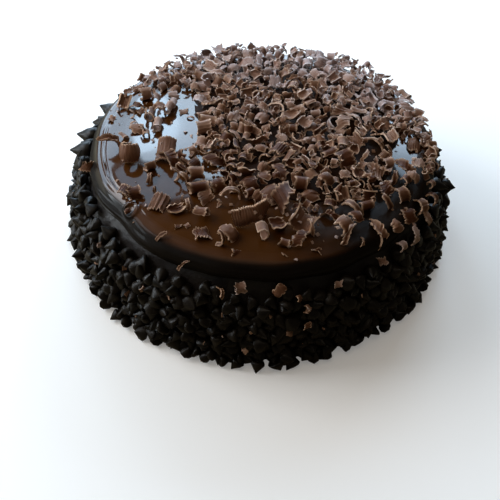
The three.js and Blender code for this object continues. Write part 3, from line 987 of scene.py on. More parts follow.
# %% [markdown]
# ## The kinds of shaving
#
# Looking closely at such a heap, five kinds stand out: short ribbed curls, smooth quills, flat
# ragged flakes, thin hooks, and scoops. Each kind gets several shapes, so that no neighbour repeats.
# A pair in the table is a range that every shape draws its own measure from, and a single number
# is the same for all of them. One shape in three has deep ribs, and a scoop's ribs are shallower.

# %% Shapes of each kind
KINDS = {
    "ribbed_curls": dict(
        length=(5.5, 8.8), radius=(2.8, 4.3), turn=(105, 225), wall=(0.75, 1.05), ribs=(5, 9),
        teeth=(0.2, 0.9), spiral=(0, 0.15), flare=(-0.05, 0.2), twist=(-0.3, 0.3), ragged=0.6,
        along=4, around=21),
    "quills": dict(
        length=(4.5, 8.5), radius=(1.9, 3.1), turn=(180, 340), wall=(0.6, 0.9), spiral=(0.15, 0.34),
        flare=(-0.04, 0.2), teeth=(0, 0.7), ragged=0.6, along=4, around=18),
    "flakes": dict(
        length=(5.5, 9.5), radius=(4.0, 8.0), turn=(60, 110), wall=(0.75, 1.1), ribs=(4, 8),
        teeth=(0.3, 1.3), flare=(-0.1, 0.3), twist=(-0.8, 0.8), ragged=1.0, along=5, around=17),
    "hooks": dict(
        length=(1.3, 2.6), radius=(2.6, 5.6), turn=(100, 230), wall=(0.65, 0.95), twist=(-0.6, 0.6),
        pitch=(-4.5, 4.5), spiral=(0.0, 0.3), ragged=0.45, along=2, around=18),
    "scoops": dict(
        length=(5.5, 8.8), radius=(2.8, 4.6), turn=(110, 200), wall=(0.7, 0.95), ribs=(4, 8),
        teeth=(0.2, 0.9), flare=(-0.45, -0.15), twist=(-0.6, 0.6), ragged=0.8, rib_depth=0.7,
        along=6, around=16),
}
DEEP_RIBS, SHALLOW_RIBS = (0.4, 0.7), (0.10, 0.28)


def draw_measures(kind, label, k):
    rng = np.random.default_rng(1000 + 50 * kind + k)
    ribbing = rng.uniform(*(DEEP_RIBS if k % 3 == 0 else SHALLOW_RIBS))
    measures = {"seed": 2000 + 100 * kind + k, "ribs": 0, "rib_depth": 1.0}
    for name, given in KINDS[label].items():
        measures[name] = rng.uniform(*given) if isinstance(given, tuple) else given
    measures["ribs"] = int(measures["ribs"])
    measures["rib_depth"] *= ribbing
    return measures


SHAPES_PER_KIND = 14
shaving_shapes = []
shape_points = []
for kind, label in enumerate(KINDS):
    made = [make_sheet(f"{label} {k:02d}", draw_measures(kind, label, k)) for k in range(SHAPES_PER_KIND)]
    shape_points.append([np.array([v.co[:] for v in thing.data.vertices]) / MM for thing in made])
    shaving_shapes.append(shape_collection(label, made))
    print(label, "shapes:", len(made), "with", len(made[0].data.polygons), "faces each")

# %% [markdown]
# ## The heap's core
#
# The middle of the heap is broken bits that nobody sees clearly. A low lumpy mound stands for them,
# in a dark finish that paints the shade in the gaps between the shavings on top.

# %% The heap's outline
HEAP_MIDDLE = (16.0, 0.0)


def heap_reach(angle):
    in_front = bump_at(angle, -98.0, 45.0)
    room = RIM_RADIUS - 4.5 - 13.0 * in_front
    away = HEAP_MIDDLE[0] - TOP_LEAN[0]
    turn = np.radians(angle)
    to_rim = -away * np.cos(turn) + np.sqrt(room**2 - (away * np.sin(turn)) ** 2)
    return to_rim * (1 - 0.44 * bump_at(angle, 206.0, 48.0)) * 0.975


def heap_share(x, y):
    """0 in the middle of the heap and 1 on its outline, for points in the cake's own frame."""
    dx, dy = x - CENTRING[0] - HEAP_MIDDLE[0], y - CENTRING[1] - HEAP_MIDDLE[1]
    return np.hypot(dx, dy) / heap_reach(np.degrees(np.arctan2(dy, dx)))


def glaze_level(x, y):
    local_x, local_y = x - CENTRING[0], y - CENTRING[1]
    flat = dome_height(np.hypot(local_x - TOP_LEAN[0], local_y)) * (1 - BACK_FALL * local_y)
    return flat + sags(np.stack([x, y, x * 0], -1))


reaches = [round(float(heap_reach(angle)), 1) for angle in (0.0, 90.0, 180.0, 270.0)]
print("the heap reaches right, back, left and forward:", reaches, "mm")

# %% The heap's core
def drawn_in(angle):
    """The core stays further in on the left, where the heap thins out over the glaze."""
    return 1 - 0.24 * bump_at(angle, 178, 30)


CORE_PROFILE = [  # share of the heap's outline and height over the glaze
    (0.0, -0.5), (0.3, -0.5), (0.6, -0.5), (0.78, -0.5), (0.86, -0.1), (0.84, 0.4), (0.78, 0.8),
    (0.68, 1.0), (0.56, 1.1), (0.42, 1.1), (0.28, 1.1), (0.14, 1.1), (0.0, 1.1),
]
core_angles = np.arange(120) * 3.0
uneven = 1 + 0.05 * ripple(41, core_angles / 9.0)
core_rings = []
for share, lift in CORE_PROFILE:
    reach = heap_reach(core_angles) * drawn_in(core_angles) * share * uneven
    x = CENTRING[0] + HEAP_MIDDLE[0] + reach * np.cos(np.radians(core_angles))
    y = CENTRING[1] + HEAP_MIDDLE[1] + reach * np.sin(np.radians(core_angles))
    lumps = 0.45 * ripple(42, x / 2.1, y / 2.1) if lift > 0 else 0.0
    ring = np.stack([x, y, glaze_level(x, y) + lift + lumps], -1)
    core_rings.append(ring[:1] if share == 0 else ring)
heap_core = make_object("heap_core", *shell_through(core_rings))
print("heap core:", len(heap_core.data.polygons), "faces")

# %% [markdown]
# ## Let the shavings settle
#
# Real shavings fall, turn until they lie low, and rest on what is below. A height map of the top
# does the same here, with one cell for each millimetre. Each shaving lands on the emptiest of a few
# spots, tries several ways to lie there and takes the lowest. It then raises the map under itself,
# so that the next one lands on it. The large curls and the shavings that are seen by themselves are
# laid first, and hardly anything may fall on them.

# %% A height map of the top
HALF = 100
NOTHING = -1000.0
MAPPED_RADIUS, CORE_SHARE, CORE_LEVEL = 92.0, 0.80, 0.8
ground = np.full((2 * HALF + 1, 2 * HALF + 1), NOTHING)
solid = bmesh.new()
solid.from_mesh(glaze.data)
glaze_tree = BVHTree.FromBMesh(solid)
solid.free()
for i in range(2 * HALF + 1):
    for j in range(2 * HALF + 1):
        x, y = i - HALF, j - HALF
        if math.hypot(x, y) < MAPPED_RADIUS:
            hit = glaze_tree.ray_cast(Vector((x * MM, y * MM, 0.1)), Vector((0, 0, -1)))[0]
            if hit is not None:
                ground[i, j] = hit.z / MM
grid_x, grid_y = np.meshgrid(np.arange(-HALF, HALF + 1), np.arange(-HALF, HALF + 1), indexing="ij")
bare_ground = ground.copy()
bearing = np.degrees(np.arctan2(grid_y - HEAP_MIDDLE[1], grid_x - HEAP_MIDDLE[0]))
core_here = heap_share(grid_x, grid_y) < CORE_SHARE * drawn_in(bearing)
core_top = glaze_level(grid_x, grid_y)[core_here] + CORE_LEVEL
ground[core_here] = np.maximum(ground[core_here], core_top)
taken = np.zeros_like(ground, dtype=bool)
print("the bare top reaches", bare_ground.max().round(1), "mm")

# %% How a shaving comes to rest
SINKING = 8
settled = [[] for _ in KINDS]


def turned(kind, shape, spin, size):
    rotation = np.array(Euler(spin).to_matrix())
    return shape_points[kind][shape] @ rotation.T * size


def cells(cloud, x, y):
    i = np.clip(np.rint(cloud[:, 0] + x).astype(int) + HALF, 0, 2 * HALF)
    j = np.clip(np.rint(cloud[:, 1] + y).astype(int) + HALF, 0, 2 * HALF)
    return i, j


def resting_height(cloud, x, y):
    """Height of the shaving's middle when it rests; a few points may sink between neighbours."""
    i, j = cells(cloud, x, y)
    gaps = ground[i, j] - cloud[:, 2]
    return np.partition(gaps, -SINKING)[-SINKING]


def raise_ground(cloud, x, y, height):
    i, j = cells(cloud, x, y)
    np.maximum.at(ground, (i, j), cloud[:, 2] + height)


def lay(kind, shape, x, y, height, spin, size):
    settled[kind].append((x, y, height, *spin, size, shape))


flat_flake = turned(2, 0, (0.0, 0.0, 0.0), 1.0)
print("a flake in the middle would rest at", round(float(resting_height(flat_flake, 16, 0)), 1), "mm")

# %% [markdown]
# ## The five large curls
#
# The largest curls are seen by themselves on the bare glaze at the front and the left. Each one is
# a part of the measured model, so its place is given, with the turn about its own axis that sets
# where its mouth opens, its lean and its heading. The wide one in front stands like a fan, the one
# at the far left stands on its end, and the others lie. The same sheet function makes them with a
# finer mesh.

# %% The large curls
CURLS = {  # place, the three turns in degrees, and the measures of the sheet
    "roll_front": ((-1.5, -62.5), (0, -66, 118), dict(
        seed=301, length=7.7, radius=14.0, turn=76, wall=1.35, ribs=16, rib_depth=0.30, teeth=0.6,
        flare=-0.06)),
    "roll_left": ((-60.5, -22), (-40, -60, 90), dict(
        seed=302, length=8.6, radius=4.7, turn=285, wall=0.9, ribs=18, rib_depth=0.24, teeth=0.3,
        flare=-0.24, spiral=0.10)),
    "roll_mid_left": ((-43.8, -17), (0, -14, 86), dict(
        seed=303, length=13.5, radius=4.3, turn=133, wall=1.0, ribs=6, rib_depth=0.25, teeth=0.5,
        flare=0.06)),
    "roll_lower_left": ((-43.8, -51.5), (0, -8, 74), dict(
        seed=304, length=9.0, radius=4.1, turn=110, wall=0.9, ribs=4, rib_depth=0.9, teeth=1.2)),
    "roll_lip": ((21, -65), (200, -12, 58), dict(
        seed=305, length=9.6, radius=4.5, turn=172, wall=0.9, ribs=5, rib_depth=0.2, teeth=0.8,
        flare=0.15, spiral=0.05)),
}
CURL_TONE = 0.24
TALLEST = cad_box[1][2] / MM - 0.25


def mark_taken(cloud, x, y, margin=1):
    i, j = cells(cloud, x, y)
    for di in range(-margin, margin + 1):
        for dj in range(-margin, margin + 1):
            taken[np.clip(i + di, 0, 2 * HALF), np.clip(j + dj, 0, 2 * HALF)] = True


for label, (place, turns, measures) in CURLS.items():
    points, faces, edge = outward_sheet(**measures, along=12, around=84)
    spin = Euler([math.radians(turn) for turn in turns])
    cloud = points @ np.array(spin.to_matrix()).T
    x, y = place[0] + CENTRING[0], place[1] + CENTRING[1]
    height = min(resting_height(cloud, x, y), TALLEST - cloud[:, 2].max())
    raise_ground(cloud, x, y, height)
    mark_taken(cloud, x, y)
    piece = make_object(label + "_curl", cloud + (x, y, height), faces, sharp=48)
    store(piece, "edge", np.where(edge < 0.9, 0.4 * edge, edge))
    store(piece, "tone", np.full(len(cloud), CURL_TONE))
    piece.data.materials.append(milk_shaving)
    hand_over(piece, label)
    tops = [float(cloud[:, 2].max() + height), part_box(label)[1].z / MM]
    print(label, "top and measured top:", [round(top, 1) for top in tops], "mm")

# %% [markdown]
# ## Shavings laid one by one
#
# Where the glaze is nearly bare, and round the heap's edge, each shaving is seen by itself, so these
# are listed one by one. They still settle on what carries them.

# %% The single shavings
BY_HAND = [  # kind, shape, place in millimetres, heading, roll and size
    (0, 1, -58.7, 31.7, 30, 100, 1.0), (3, 2, -71.8, 32.8, 20, 20, 0.55),
    (3, 5, -71.8, 21.5, 15, 90, 0.5), (2, 3, -75.0, 14.6, 60, 0, 0.45),
    (3, 1, -64.1, 15.5, 95, 90, 0.6), (1, 2, -54.6, 14.8, 88, 150, 1.0),
    (0, 3, -49.3, 18.9, 100, 30, 0.75), (1, 4, -45.1, 18.7, 70, 60, 0.8),
    (2, 5, -60.1, 4.0, 10, 10, 0.8), (1, 6, -55.0, -0.5, 100, 0, 0.75),
    (2, 1, -70.7, -10.5, 110, 30, 0.8), (0, 6, -60.2, -42.0, 72, 20, 0.8),
    (2, 7, -55.0, -45.4, 20, 40, 0.8), (1, 0, -50.0, -27.4, 30, 120, 0.85),
    (3, 4, -49.5, -34.0, 15, 0, 1.0), (2, 4, -39.8, -24.2, 35, 20, 1.0),
    (3, 6, -36.9, -36.2, 95, 90, 1.15), (3, 3, -32.5, -37.7, 40, 60, 0.7),
    (0, 5, -27.0, -36.4, 10, 60, 0.8), (3, 0, -46.7, -41.2, 10, 0, 0.35),
    (4, 2, -35.3, -55.0, 25, 180, 1.05), (3, 7, -30.1, -53.2, 30, 20, 0.7),
    (3, 1, -32.6, -50.0, 5, 0, 0.5), (1, 3, -23.5, -58.2, 160, 40, 1.0),
    (2, 9, -22.8, -69.4, 100, 0, 0.9), (2, 6, -33.7, -64.6, 0, 0, 0.3),
    (2, 8, -29.8, -64.1, 40, 0, 0.3), (4, 4, -11.1, -70.0, 60, 20, 1.0),
    (3, 9, -14.6, -74.5, 55, 90, 0.8), (3, 8, -16.1, -53.4, 120, 90, 0.75),
    (2, 10, -22.2, -48.3, 30, 30, 0.85), (0, 4, -17.5, -39.9, 25, 10, 1.1),
    (2, 0, -19.7, -23.2, 60, 20, 1.0), (0, 9, -28.6, -26.7, 60, 60, 0.95),
    (4, 1, -2.3, -39.9, 40, 20, 1.15), (3, 10, -10.4, -48.4, 110, 30, 1.1),
    (2, 11, 8.0, -45.5, 50, 10, 1.1), (2, 12, 13.2, -49.4, -35, 20, 1.1),
    (4, 7, 25.5, -46.0, 0, 0, 1.05), (0, 10, 3.7, -69.9, 100, 70, 0.75),
    (4, 9, 10.5, -65.0, 20, 170, 1.0), (3, 12, 24.7, -67.7, 5, 30, 1.2),
    (2, 13, 19.7, -73.5, -30, 20, 0.7), (1, 9, 13.0, -75.6, -20, 80, 0.75),
    (4, 10, 39.6, -66.5, 50, 60, 1.0), (3, 11, 40.6, -71.0, -10, 40, 1.1),
    (3, 13, 44.1, -54.4, 50, 20, 1.2), (1, 11, 50.5, -52.6, 20, 60, 0.9),
    (2, 2, 78.4, 23.1, 30, 20, 1.0), (4, 11, 79.0, -6.0, 80, 10, 1.1),
    (2, 3, 56.5, -29.0, 60, 10, 1.0), (1, 12, 63.5, -23.5, 20, 90, 0.8),
    (3, 5, 66.0, -32.0, 5, 0, 1.0), (2, 9, 60.5, -40.0, 30, 10, 1.0),
    (3, 6, 52.0, -44.0, 25, 90, 1.0), (2, 4, 34.0, -58.0, 60, 10, 0.6),
    (0, 7, -66.0, -2.0, 140, 40, 0.55), (2, 6, -64.5, 41.0, 20, 10, 0.7),
    (1, 5, -52.0, 46.5, 40, 40, 0.8), (0, 11, -44.0, 38.0, 60, 20, 0.8),
    (2, 8, -27.5, 30.0, 10, 10, 0.8), (1, 7, -27.0, 12.0, 20, 40, 0.85),
    (0, 12, -25.5, 0.0, 15, 80, 0.9), (0, 2, -52.0, 27.0, 85, 90, 0.7),
    (1, 8, -43.5, 24.5, 80, 40, 0.8), (2, 3, -60.5, 20.5, 40, 0, 0.5),
    (1, 13, -50.0, 6.0, 90, 80, 0.9), (3, 0, -57.0, 1.0, 60, 0, 0.5),
    (2, 10, -37.5, 19.0, 10, 0, 0.55), (3, 8, -33.5, 13.0, 60, 0, 0.5),
    (0, 13, -29.0, 24.0, 70, 30, 0.85), (2, 5, -44.0, 33.0, 30, 20, 0.6),
    (3, 11, -55.0, 38.0, 30, 0, 0.6), (0, 9, -50.5, 40.0, 60, 60, 0.8),
    (2, 12, -63.0, 24.0, 70, 0, 0.5), (2, 1, 70.5, -27.0, 40, 10, 0.9),
    (4, 0, 74.0, -33.0, 70, 20, 0.9), (0, 2, 68.0, -44.0, 30, 40, 0.8),
    (3, 8, 60.0, -50.0, 20, 60, 1.0), (2, 5, 77.5, -24.0, 90, 10, 0.8),
    (1, 3, 70.0, -37.0, 50, 30, 0.7), (4, 5, 45.0, -60.0, 20, 10, 0.8),
    (0, 13, 34.5, -51.5, 70, 30, 0.7), (2, 7, -26.0, -10.0, 70, 15, 0.9),
    (1, 10, -30.5, -17.0, 35, 70, 0.8), (3, 2, -15.5, -31.0, 45, 30, 0.9),
]
for kind, shape, x, y, heading, roll, size in BY_HAND:
    spin = (math.radians(roll), 0.0, math.radians(heading))
    cloud = turned(kind, shape, spin, size)
    height = resting_height(cloud, x, y)
    raise_ground(cloud, x, y, height)
    mark_taken(cloud, x, y, 0)
    lay(kind, shape, x, y, height, spin, size)
print("laid by hand:", len(BY_HAND))

# %% [markdown]
# ## The heap
#
# The rest of the heap is laid by the rule above until the pile has reached its height everywhere:
# about seven millimetres over the glaze, in soft knolls. A few patches stay nearly bare, as they do
# when the shavings are thrown on by hand. At the back right the heap runs out over the lip.

# %% Where the heap is dense and how high it goes
rng = np.random.default_rng(4)
kind_shares = (0.33, 0.17, 0.25, 0.06, 0.19)
PILE_DEPTH, KNOLL_HEIGHT, HIGHEST_TOP = 7.4, 1.6, 67.9
STRAY_CHANCE, EDGE_CHANCE, LOWER_LEFT_CHANCE = 0.003, 0.55, 0.22
BARE_PATCHES = [  # middle in x and y, and half widths
    (-66, 8, 17, 30), (-44, 16, 18, 24), (-47, -11, 13, 11), (-31, 0, 8, 11), (75, -14, 10, 14),
    (-22, -25, 7, 6), (-2, -27, 5, 6), (55, -15, 7, 6), (15, -40, 6, 5), (66, -38, 10, 8), (33, -52, 8, 6),
]


def heap_limit(x, y):
    """The pile rises and falls in soft knolls, and never past the measured height."""
    knolls = ripple(45, x / 7.0, y / 7.0)
    return min(glaze_level(x, y) + PILE_DEPTH + KNOLL_HEIGHT * knolls, HIGHEST_TOP)


def at_right(x, y):
    return x > 48 and y > -30


def crowded(x, y):
    """How likely a shaving falls here: sure in the heap and at the back, thin near its outline."""
    if any(math.hypot((x - px) / wide, (y - py) / deep) < 1 for px, py, wide, deep in BARE_PATCHES):
        return STRAY_CHANCE
    share = heap_share(x, y)
    rim_reach = math.hypot(x - 3, y)
    back = y > (39 if x < -26 else 30) and rim_reach < 81
    if share < 0.9 or back or (at_right(x, y) and rim_reach < 85):
        return 1.0
    if share < 1.0:
        return EDGE_CHANCE
    return LOWER_LEFT_CHANCE if share < 1.3 and -52 < x < -12 and -44 < y < -17 else 0.0


def random_spot():
    while True:
        x, y = rng.uniform(-70, 88), rng.uniform(-80, 82)
        if rng.random() < crowded(x, y):
            return x, y


limits = [round(float(heap_limit(x, y)), 1) for x, y in ((16, 0), (0, 70))]
print("pile limit in the middle and at the back:", limits, "mm")

# %% Fill the heap
def emptiest(spots):
    """Of a few spots, the one where the least lies so far."""
    def piled(x, y):
        i, j = int(round(x)) + HALF, int(round(y)) + HALF
        return ground[i - 3:i + 4, j - 3:j + 4].mean() - glaze_level(x, y)
    return min(spots, key=lambda spot: piled(*spot))


MOST_TRIES, MOST_REFUSED = 3200, 90
SPOTS, WAYS, UPRIGHT_SHARE, TAKEN_SHARE = 5, 6, 0.35, 0.08
OVERHANG, RIGHT_OVERHANG = 1.5, 5.0
tries, refused = 0, 0
while refused < MOST_REFUSED and tries < MOST_TRIES:
    tries += 1
    kind = int(rng.choice(len(KINDS), p=kind_shares))
    shape = int(rng.integers(SHAPES_PER_KIND))
    size = rng.uniform(0.85, 1.1) * rng.choice((0.52, 0.85, 1.15), p=(0.32, 0.38, 0.30))
    upright = rng.random() < UPRIGHT_SHARE
    x, y = emptiest([random_spot() for _ in range(SPOTS)])
    axis_x, axis_y = CENTRING[0] + TOP_LEAN[0], CENTRING[1] + TOP_LEAN[1]
    farthest = RIM_RADIUS + (RIGHT_OVERHANG if at_right(x, y) else OVERHANG)
    best = None
    for _ in range(WAYS):
        pitch = rng.uniform(0.5, 1.3) * rng.choice((-1, 1)) if upright else rng.normal(0, 0.35)
        spin = (rng.uniform(0, 2 * math.pi), pitch, rng.uniform(0, 2 * math.pi))
        cloud = turned(kind, shape, spin, size)
        i, j = cells(cloud, x, y)
        if taken[i, j].mean() > TAKEN_SHARE:
            continue
        height = resting_height(cloud, x, y)
        top = height + cloud[:, 2].max()
        reach = np.hypot(cloud[:, 0] + x - axis_x, cloud[:, 1] + y - axis_y).max()
        fits = top < heap_limit(x, y) and reach < farthest
        if fits and (best is None or top < best[0]):
            best = (top, height, spin, cloud)
    if best is None:
        refused += 1
        continue
    refused = 0
    _, height, spin, cloud = best
    raise_ground(cloud, x, y, height)
    lay(kind, shape, x, y, height, spin, size)
print("shavings laid:", sum(len(kind) for kind in settled), "after", tries, "tries")

# %% Single shavings caught on the lip, the skirt and the side
CAUGHT = [  # kind, shape, place and height, the three turns, and size
    (3, 1, -41.1, -69.5, 56.0, 1.2, 0.2, -0.9, 0.9), (2, 5, -7.2, -79.6, 56.2, 0.9, 0.2, 0.3, 0.6),
    (3, 3, -3.6, -80.6, 55.4, 0.6, 0.9, 0.2, 0.5), (2, 8, 14.0, -79.0, 56.0, 0.8, 0.3, 1.4, 0.6),
    (2, 4, 28.0, -77.6, 56.0, 0.9, 0.1, 1.2, 0.5), (2, 7, -5.8, -89.6, 46.4, 1.0, 0.1, 0.4, 0.62),
    (4, 4, 10.8, -90.6, 46.0, 1.0, 0.5, -0.5, 0.7), (4, 5, 19.6, -93.2, 44.0, 1.1, 0.3, 0.8, 0.42),
    (2, 2, 23.4, -95.4, 40.4, 1.0, 0.2, 1.3, 0.36), (2, 10, 36.6, -86.4, 45.8, 1.0, 0.1, 0.1, 0.42),
    (2, 9, 57.0, -73.0, 46.0, 1.0, 0.9, -0.9, 0.55), (2, 6, 23.6, -98.4, 31.4, 1.0, 0.2, 0.3, 0.35),
    (3, 11, -31.0, -82.0, 52.0, 0.9, 0.2, -0.6, 0.7),
    (2, 4, -14.2, -91.2, 45.0, 0.9, 0.6, 0.8, 0.4), (2, 11, 70.8, -52.0, 54.2, 0.5, 0.3, 0.5, 0.85),
    (0, 3, 77.4, -45.5, 54.0, 0.7, 0.4, 0.7, 0.85), (4, 10, 84.6, -37.5, 51.4, 0.8, 0.5, 1.1, 0.85),
    (2, 0, 80.6, -48.0, 48.6, 0.9, 0.4, 0.9, 0.8), (1, 6, 83.4, -32.6, 56.0, 0.3, 0.2, 0.9, 0.7),
    (2, 3, 86.6, -5.0, 54.6, 0.2, 0.9, 1.5, 0.8), (2, 13, 73.0, -59.0, 49.0, 1.0, 0.3, 0.8, 0.75),
    (0, 8, 88.2, -15.0, 51.8, 0.4, 0.8, 1.5, 0.7), (4, 2, -57.6, -53.6, 56.6, 0.5, 0.0, 0.8, 0.45),
    (2, 1, 54.4, -64.4, 56.0, 0.5, 0.2, 0.8, 0.85), (3, 5, 46.6, -70.4, 55.4, 0.6, 0.5, 0.6, 0.7),
    (2, 12, -83.0, -16.0, 50.6, 0.3, -0.9, 1.5, 0.62),
    (4, 7, 64.0, -59.5, 55.2, 0.5, 0.3, 0.7, 0.9), (0, 5, 66.5, -66.0, 48.6, 0.8, 0.4, 0.9, 0.6),
]
for kind, shape, x, y, height, *spin, size in CAUGHT:
    lay(kind, shape, x, y, height, tuple(spin), size)
print("caught on the way down:", len(CAUGHT))

# %% [markdown]
# Each kind becomes one mesh. Its points carry the turn, size, shape and tone of every shaving, and
# the second tree turns them into shavings at true size. The tone is painted paler towards the back,
# as painted light from the window there, and paler on the bits that fell below the lip. In front it is
# darker, as painted shade.

# %% One piece for each kind of shaving
# Its growth in y paints light, paler towards the window at the back, and darker in front as painted shade.
TONE_WITH_PAINTED_LIGHT = (0.40, 0.0015, 0.0090, 0.45)
shaving_pieces = []
for kind, label in enumerate(KINDS):
    piece = set_out(label, shaving_shapes[kind], settled[kind], milk_shaving, TONE_WITH_PAINTED_LIGHT)
    shaving_pieces.append(piece)
    print(label, len(settled[kind]), "pieces,", len(piece.data.polygons), "faces")

# %% [markdown]
# ## Flecks
#
# Scraping also throws off small chips. They lie all over the heap and thin out over the bare glaze,
# and a few hang among the drops. The scatter tree places them, with a crowd number on the surface
# that says how likely a chip is there.

# %% Chips and where they fall
def fleck_measures(k):
    return dict(seed=500 + k, length=1.5 + 0.25 * k, radius=1.3 + 0.2 * k, turn=60 + 8 * k,
                wall=0.45, ragged=0.35, along=1, around=3)


fleck_shapes = shape_collection("fleck shapes", [
    make_sheet(f"fleck {k}", fleck_measures(k), dusting=0.6) for k in range(5)
])
CURL_STANDS, LOWEST_CHIP, HIGHEST_CHIP = 9.5, 54.0, 66.6
fall = []
for ring_radius in np.linspace(4, 83, 22):
    fall.append(on_cake(glaze_angles[::3], ring_radius, dome_height(ring_radius)))
landing = make_object("landing", *shell_through([ring.copy() for ring in fall[::-1]]))
where_xy = np.array([v.co[:] for v in landing.data.vertices]) / MM
heaped = heap_share(where_xy[:, 0], where_xy[:, 1])
for vertex, x_y_z in zip(landing.data.vertices, where_xy):
    i, j = int(round(x_y_z[0])) + HALF, int(round(x_y_z[1])) + HALF
    under_curl = ground[i, j] - bare_ground[i, j] > CURL_STANDS
    carrier = bare_ground[i, j] if under_curl else ground[i, j]
    vertex.co.z = min(max(carrier, bare_ground[i, j], LOWEST_CHIP), HIGHEST_CHIP) * MM
in_heap = np.clip(0.10 - 0.0022 * where_xy[:, 1], 0.02, 0.16)
outside = 0.40 * np.exp(-(np.clip(heaped - 1, 0, None) * 2.6))
store(landing, "crowd", np.where(heaped < 1, in_heap, outside))
flecks = run_tree(scatter_tree, landing, "flecks", {
    "Shapes": fleck_shapes, "Material": milk_shaving, "Spacing": 3.4 * MM, "Tilt": 0.7, "Smallest": 0.32,
    "Largest": 0.95, "Lowest": 0.1 * MM, "Highest": 0.35 * MM, "Seed": 91,
})
print("flecks:", len(flecks.data.polygons), "faces")

# %% Chips among the drops
side_crowd = np.linspace(0.10, 0.42, len(pressed_heights))
side_bed = band("side chips", pressed_heights, pressed_radii + 5.2, side_crowd)
side_flecks = run_tree(scatter_tree, side_bed, "side_flecks", {
    "Shapes": fleck_shapes, "Material": milk_shaving, "Spacing": 12.0 * MM, "Tilt": 1.6, "Smallest": 0.5,
    "Largest": 1.2, "Lowest": -1.2 * MM, "Highest": 0.2 * MM, "Seed": 17,
})
print("side flecks:", len(side_flecks.data.polygons), "faces")

# %% [markdown]
# ## Each piece meets its finish and its body
#
# The cake has no moving parts, so everything rides on one body. Each piece says which measured
# part it stands for, and a material of the record is listed beside it.

# %% Finishes and bodies
coated_cake.data.materials.append(ganache)
glaze.data.materials.append(glossy)
heap_core.data.materials.append(heap_core_shade)
for name in ("tone", "edge"):
    store(heap_core, name, np.zeros(len(heap_core.data.vertices)))
for piece, node, slot in [
    (coated_cake, "cake", "ganache_coat"), (glaze, "glaze", "chocolate_glaze"),
    (heap_core, "shavings", "chocolate_shavings"), (flecks, "shavings", "chocolate_shavings"),
    (side_flecks, "shavings", "chocolate_shavings"),
    *[(piece, "shavings", "chocolate_shavings") for piece in shaving_pieces],
]:
    hand_over(piece, node)
for collection in (drop_shapes, fleck_shapes, *shaving_shapes):
    for thing in list(collection.objects):
        bpy.data.objects.remove(thing)
    bpy.data.collections.remove(collection)
triangles = {
    piece.name: sum(len(face.vertices) - 2 for face in piece.data.polygons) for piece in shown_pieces()
}
print("triangles:", triangles, "in all", sum(triangles.values()))

# %% [markdown]
# ## Floor and light
#
# The floor is pale and has no edge in sight, so the dark cake stands out. It looks pale to the
# camera only. To every other ray it is a dim brown, because a bright floor would lift the shadows
# between the drops. Further out it glows a little, until it meets the backdrop without a horizon.
#
# The light is that of a room with a tall window behind the cake on the left. The glaze is nearly a
# mirror, so each panel stands where its reflection belongs. The window is in two panels, with the
# low sky under them and a bright strip of curtain beside them. A far window answers from the right,
# a pale wall and a low light open up the left side, and a warm panel overhead shows the shavings.

# %% The floor
FLOOR_HALF = 9000
corners = [(-1, -1), (1, -1), (1, 1), (-1, 1)]
floor = make_object("floor", [(x * FLOOR_HALF, y * FLOOR_HALF, 0) for x, y in corners], [(0, 1, 2, 3)])
pale, tree, shader, where = start_finish("pale_floor", {
    "Roughness": 0.75, "Emission Color": (1.0, 0.98, 0.955, 1.0)})
patches = effect(tree, mottling, where, Scale=4.0, Contrast=0.5)
seen = put(tree, "ShaderNodeLightPath").outputs["Is Camera Ray"]
looks = blend(tree, patches, (0.82, 0.805, 0.775), (0.88, 0.865, 0.835))
tree.links.new(blend(tree, seen, (0.27, 0.205, 0.115), looks), shader.inputs["Base Color"])
far_away = put(tree, "ShaderNodeVectorMath", {0: where}, operation="LENGTH").outputs["Value"]
glow = spread_value(tree, far_away, 0.20, 0.79, start=0.10, end=1.1)
tree.links.new(compute(tree, "MULTIPLY", glow, seen), shader.inputs["Emission Strength"])
floor.data.materials.append(pale)
print("floor ready")

# %% The lights
PANELS = [  # name, place, width and height in metres, power in watts and colour
    ("window_right", (-0.175, 0.780, 0.58), (0.20, 0.22), 1.35, (0.58, 0.79, 1.0)),
    ("window_left", (-0.558, 0.617, 0.490), (0.84, 0.34), 4.6, (0.56, 0.78, 1.0)),
    ("low_sky", (-0.08, 0.98, 0.27), (1.20, 0.27), 6.0, (0.62, 0.80, 1.0)),
    ("curtain", (-0.269, 0.541, 0.647), (0.285, 0.104), 0.26, (0.50, 0.74, 1.0)),
    ("far_window", (0.30, 0.77, 0.55), (0.42, 0.32), 4.4, (0.60, 0.79, 1.0)),
    ("left_wall", (-0.62, 0.12, 0.56), (0.50, 0.34), 4.0, (0.92, 0.95, 1.0)),
    ("left_low", (-0.80, 0.06, 0.16), (0.50, 0.14), 2.6, (0.84, 0.93, 1.0)),
    ("overhead", (-0.2, -0.2, 1.5), (1.0, 1.0), 2.9, (1.0, 0.86, 0.68)),
]
LIT_SPOT = Vector((0, 0, 0.05))
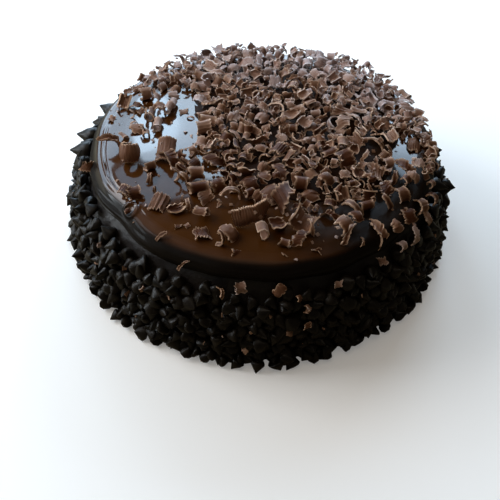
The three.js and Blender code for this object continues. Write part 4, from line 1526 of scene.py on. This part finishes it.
for name, place, (width, height), power, colour in PANELS:
    light = bpy.data.lights.new(name, "AREA")
    light.shape = "RECTANGLE"
    light.size, light.size_y = width, height
    light.energy = power
    light.color = colour
    lamp = bpy.data.objects.new(name, light)
    lamp.location = place
    lamp.visible_camera = False
    lamp.rotation_euler = (LIT_SPOT - Vector(place)).to_track_quat("-Z", "Y").to_euler()
    bpy.context.scene.collection.objects.link(lamp)
print("light panels:", len(PANELS))

# %% [markdown]
# The world is a dim warm room to the cake and a bright backdrop to the camera.

# %% The world
world = bpy.data.worlds.new("room")
world.use_nodes = True
tree = world.node_tree
background = tree.nodes["Background"]
seen = put(tree, "ShaderNodeLightPath").outputs["Is Camera Ray"]
tree.links.new(spread_value(tree, seen, 0.065, 0.85), background.inputs["Strength"])
backdrop = blend(tree, seen, (1.0, 0.88, 0.72), (1.0, 0.97, 0.94))
tree.links.new(backdrop, background.inputs["Color"])
bpy.context.scene.world = world
bpy.context.scene.view_settings.view_transform = "Standard"
print("world ready")

# %% [markdown]
# ## The camera
#
# The camera looks down at the cake from the front at about 48 degrees, close enough that the near
# side looks larger than the far one. It is turned a little in its own plane, as a camera held in
# the hand is, so it gets its three axes instead of a point to look at.

# %% The camera
CAMERA_PLACE = (0.0, -0.2796, 0.2799)
LOOKS_ALONG, ROUGHLY_UP = (-0.0061, 0.6725, -0.7401), (-0.0106, 0.7400, 0.6725)
FOCAL_LENGTH, SENSOR_WIDTH = 50.4, 36.0
camera = bpy.data.objects.new("camera", bpy.data.cameras.new("camera"))
camera.data.sensor_width = SENSOR_WIDTH
camera.data.lens = FOCAL_LENGTH
camera.data.clip_start = 0.01
forward = Vector(LOOKS_ALONG).normalized()
rightward = forward.cross(Vector(ROUGHLY_UP)).normalized()
upward = rightward.cross(forward)
axes = Matrix((rightward, upward, -forward)).transposed()
camera.matrix_world = Matrix.Translation(CAMERA_PLACE) @ axes.to_4x4()
bpy.context.scene.collection.objects.link(camera)
bpy.context.scene.camera = camera
print("camera at", CAMERA_PLACE)
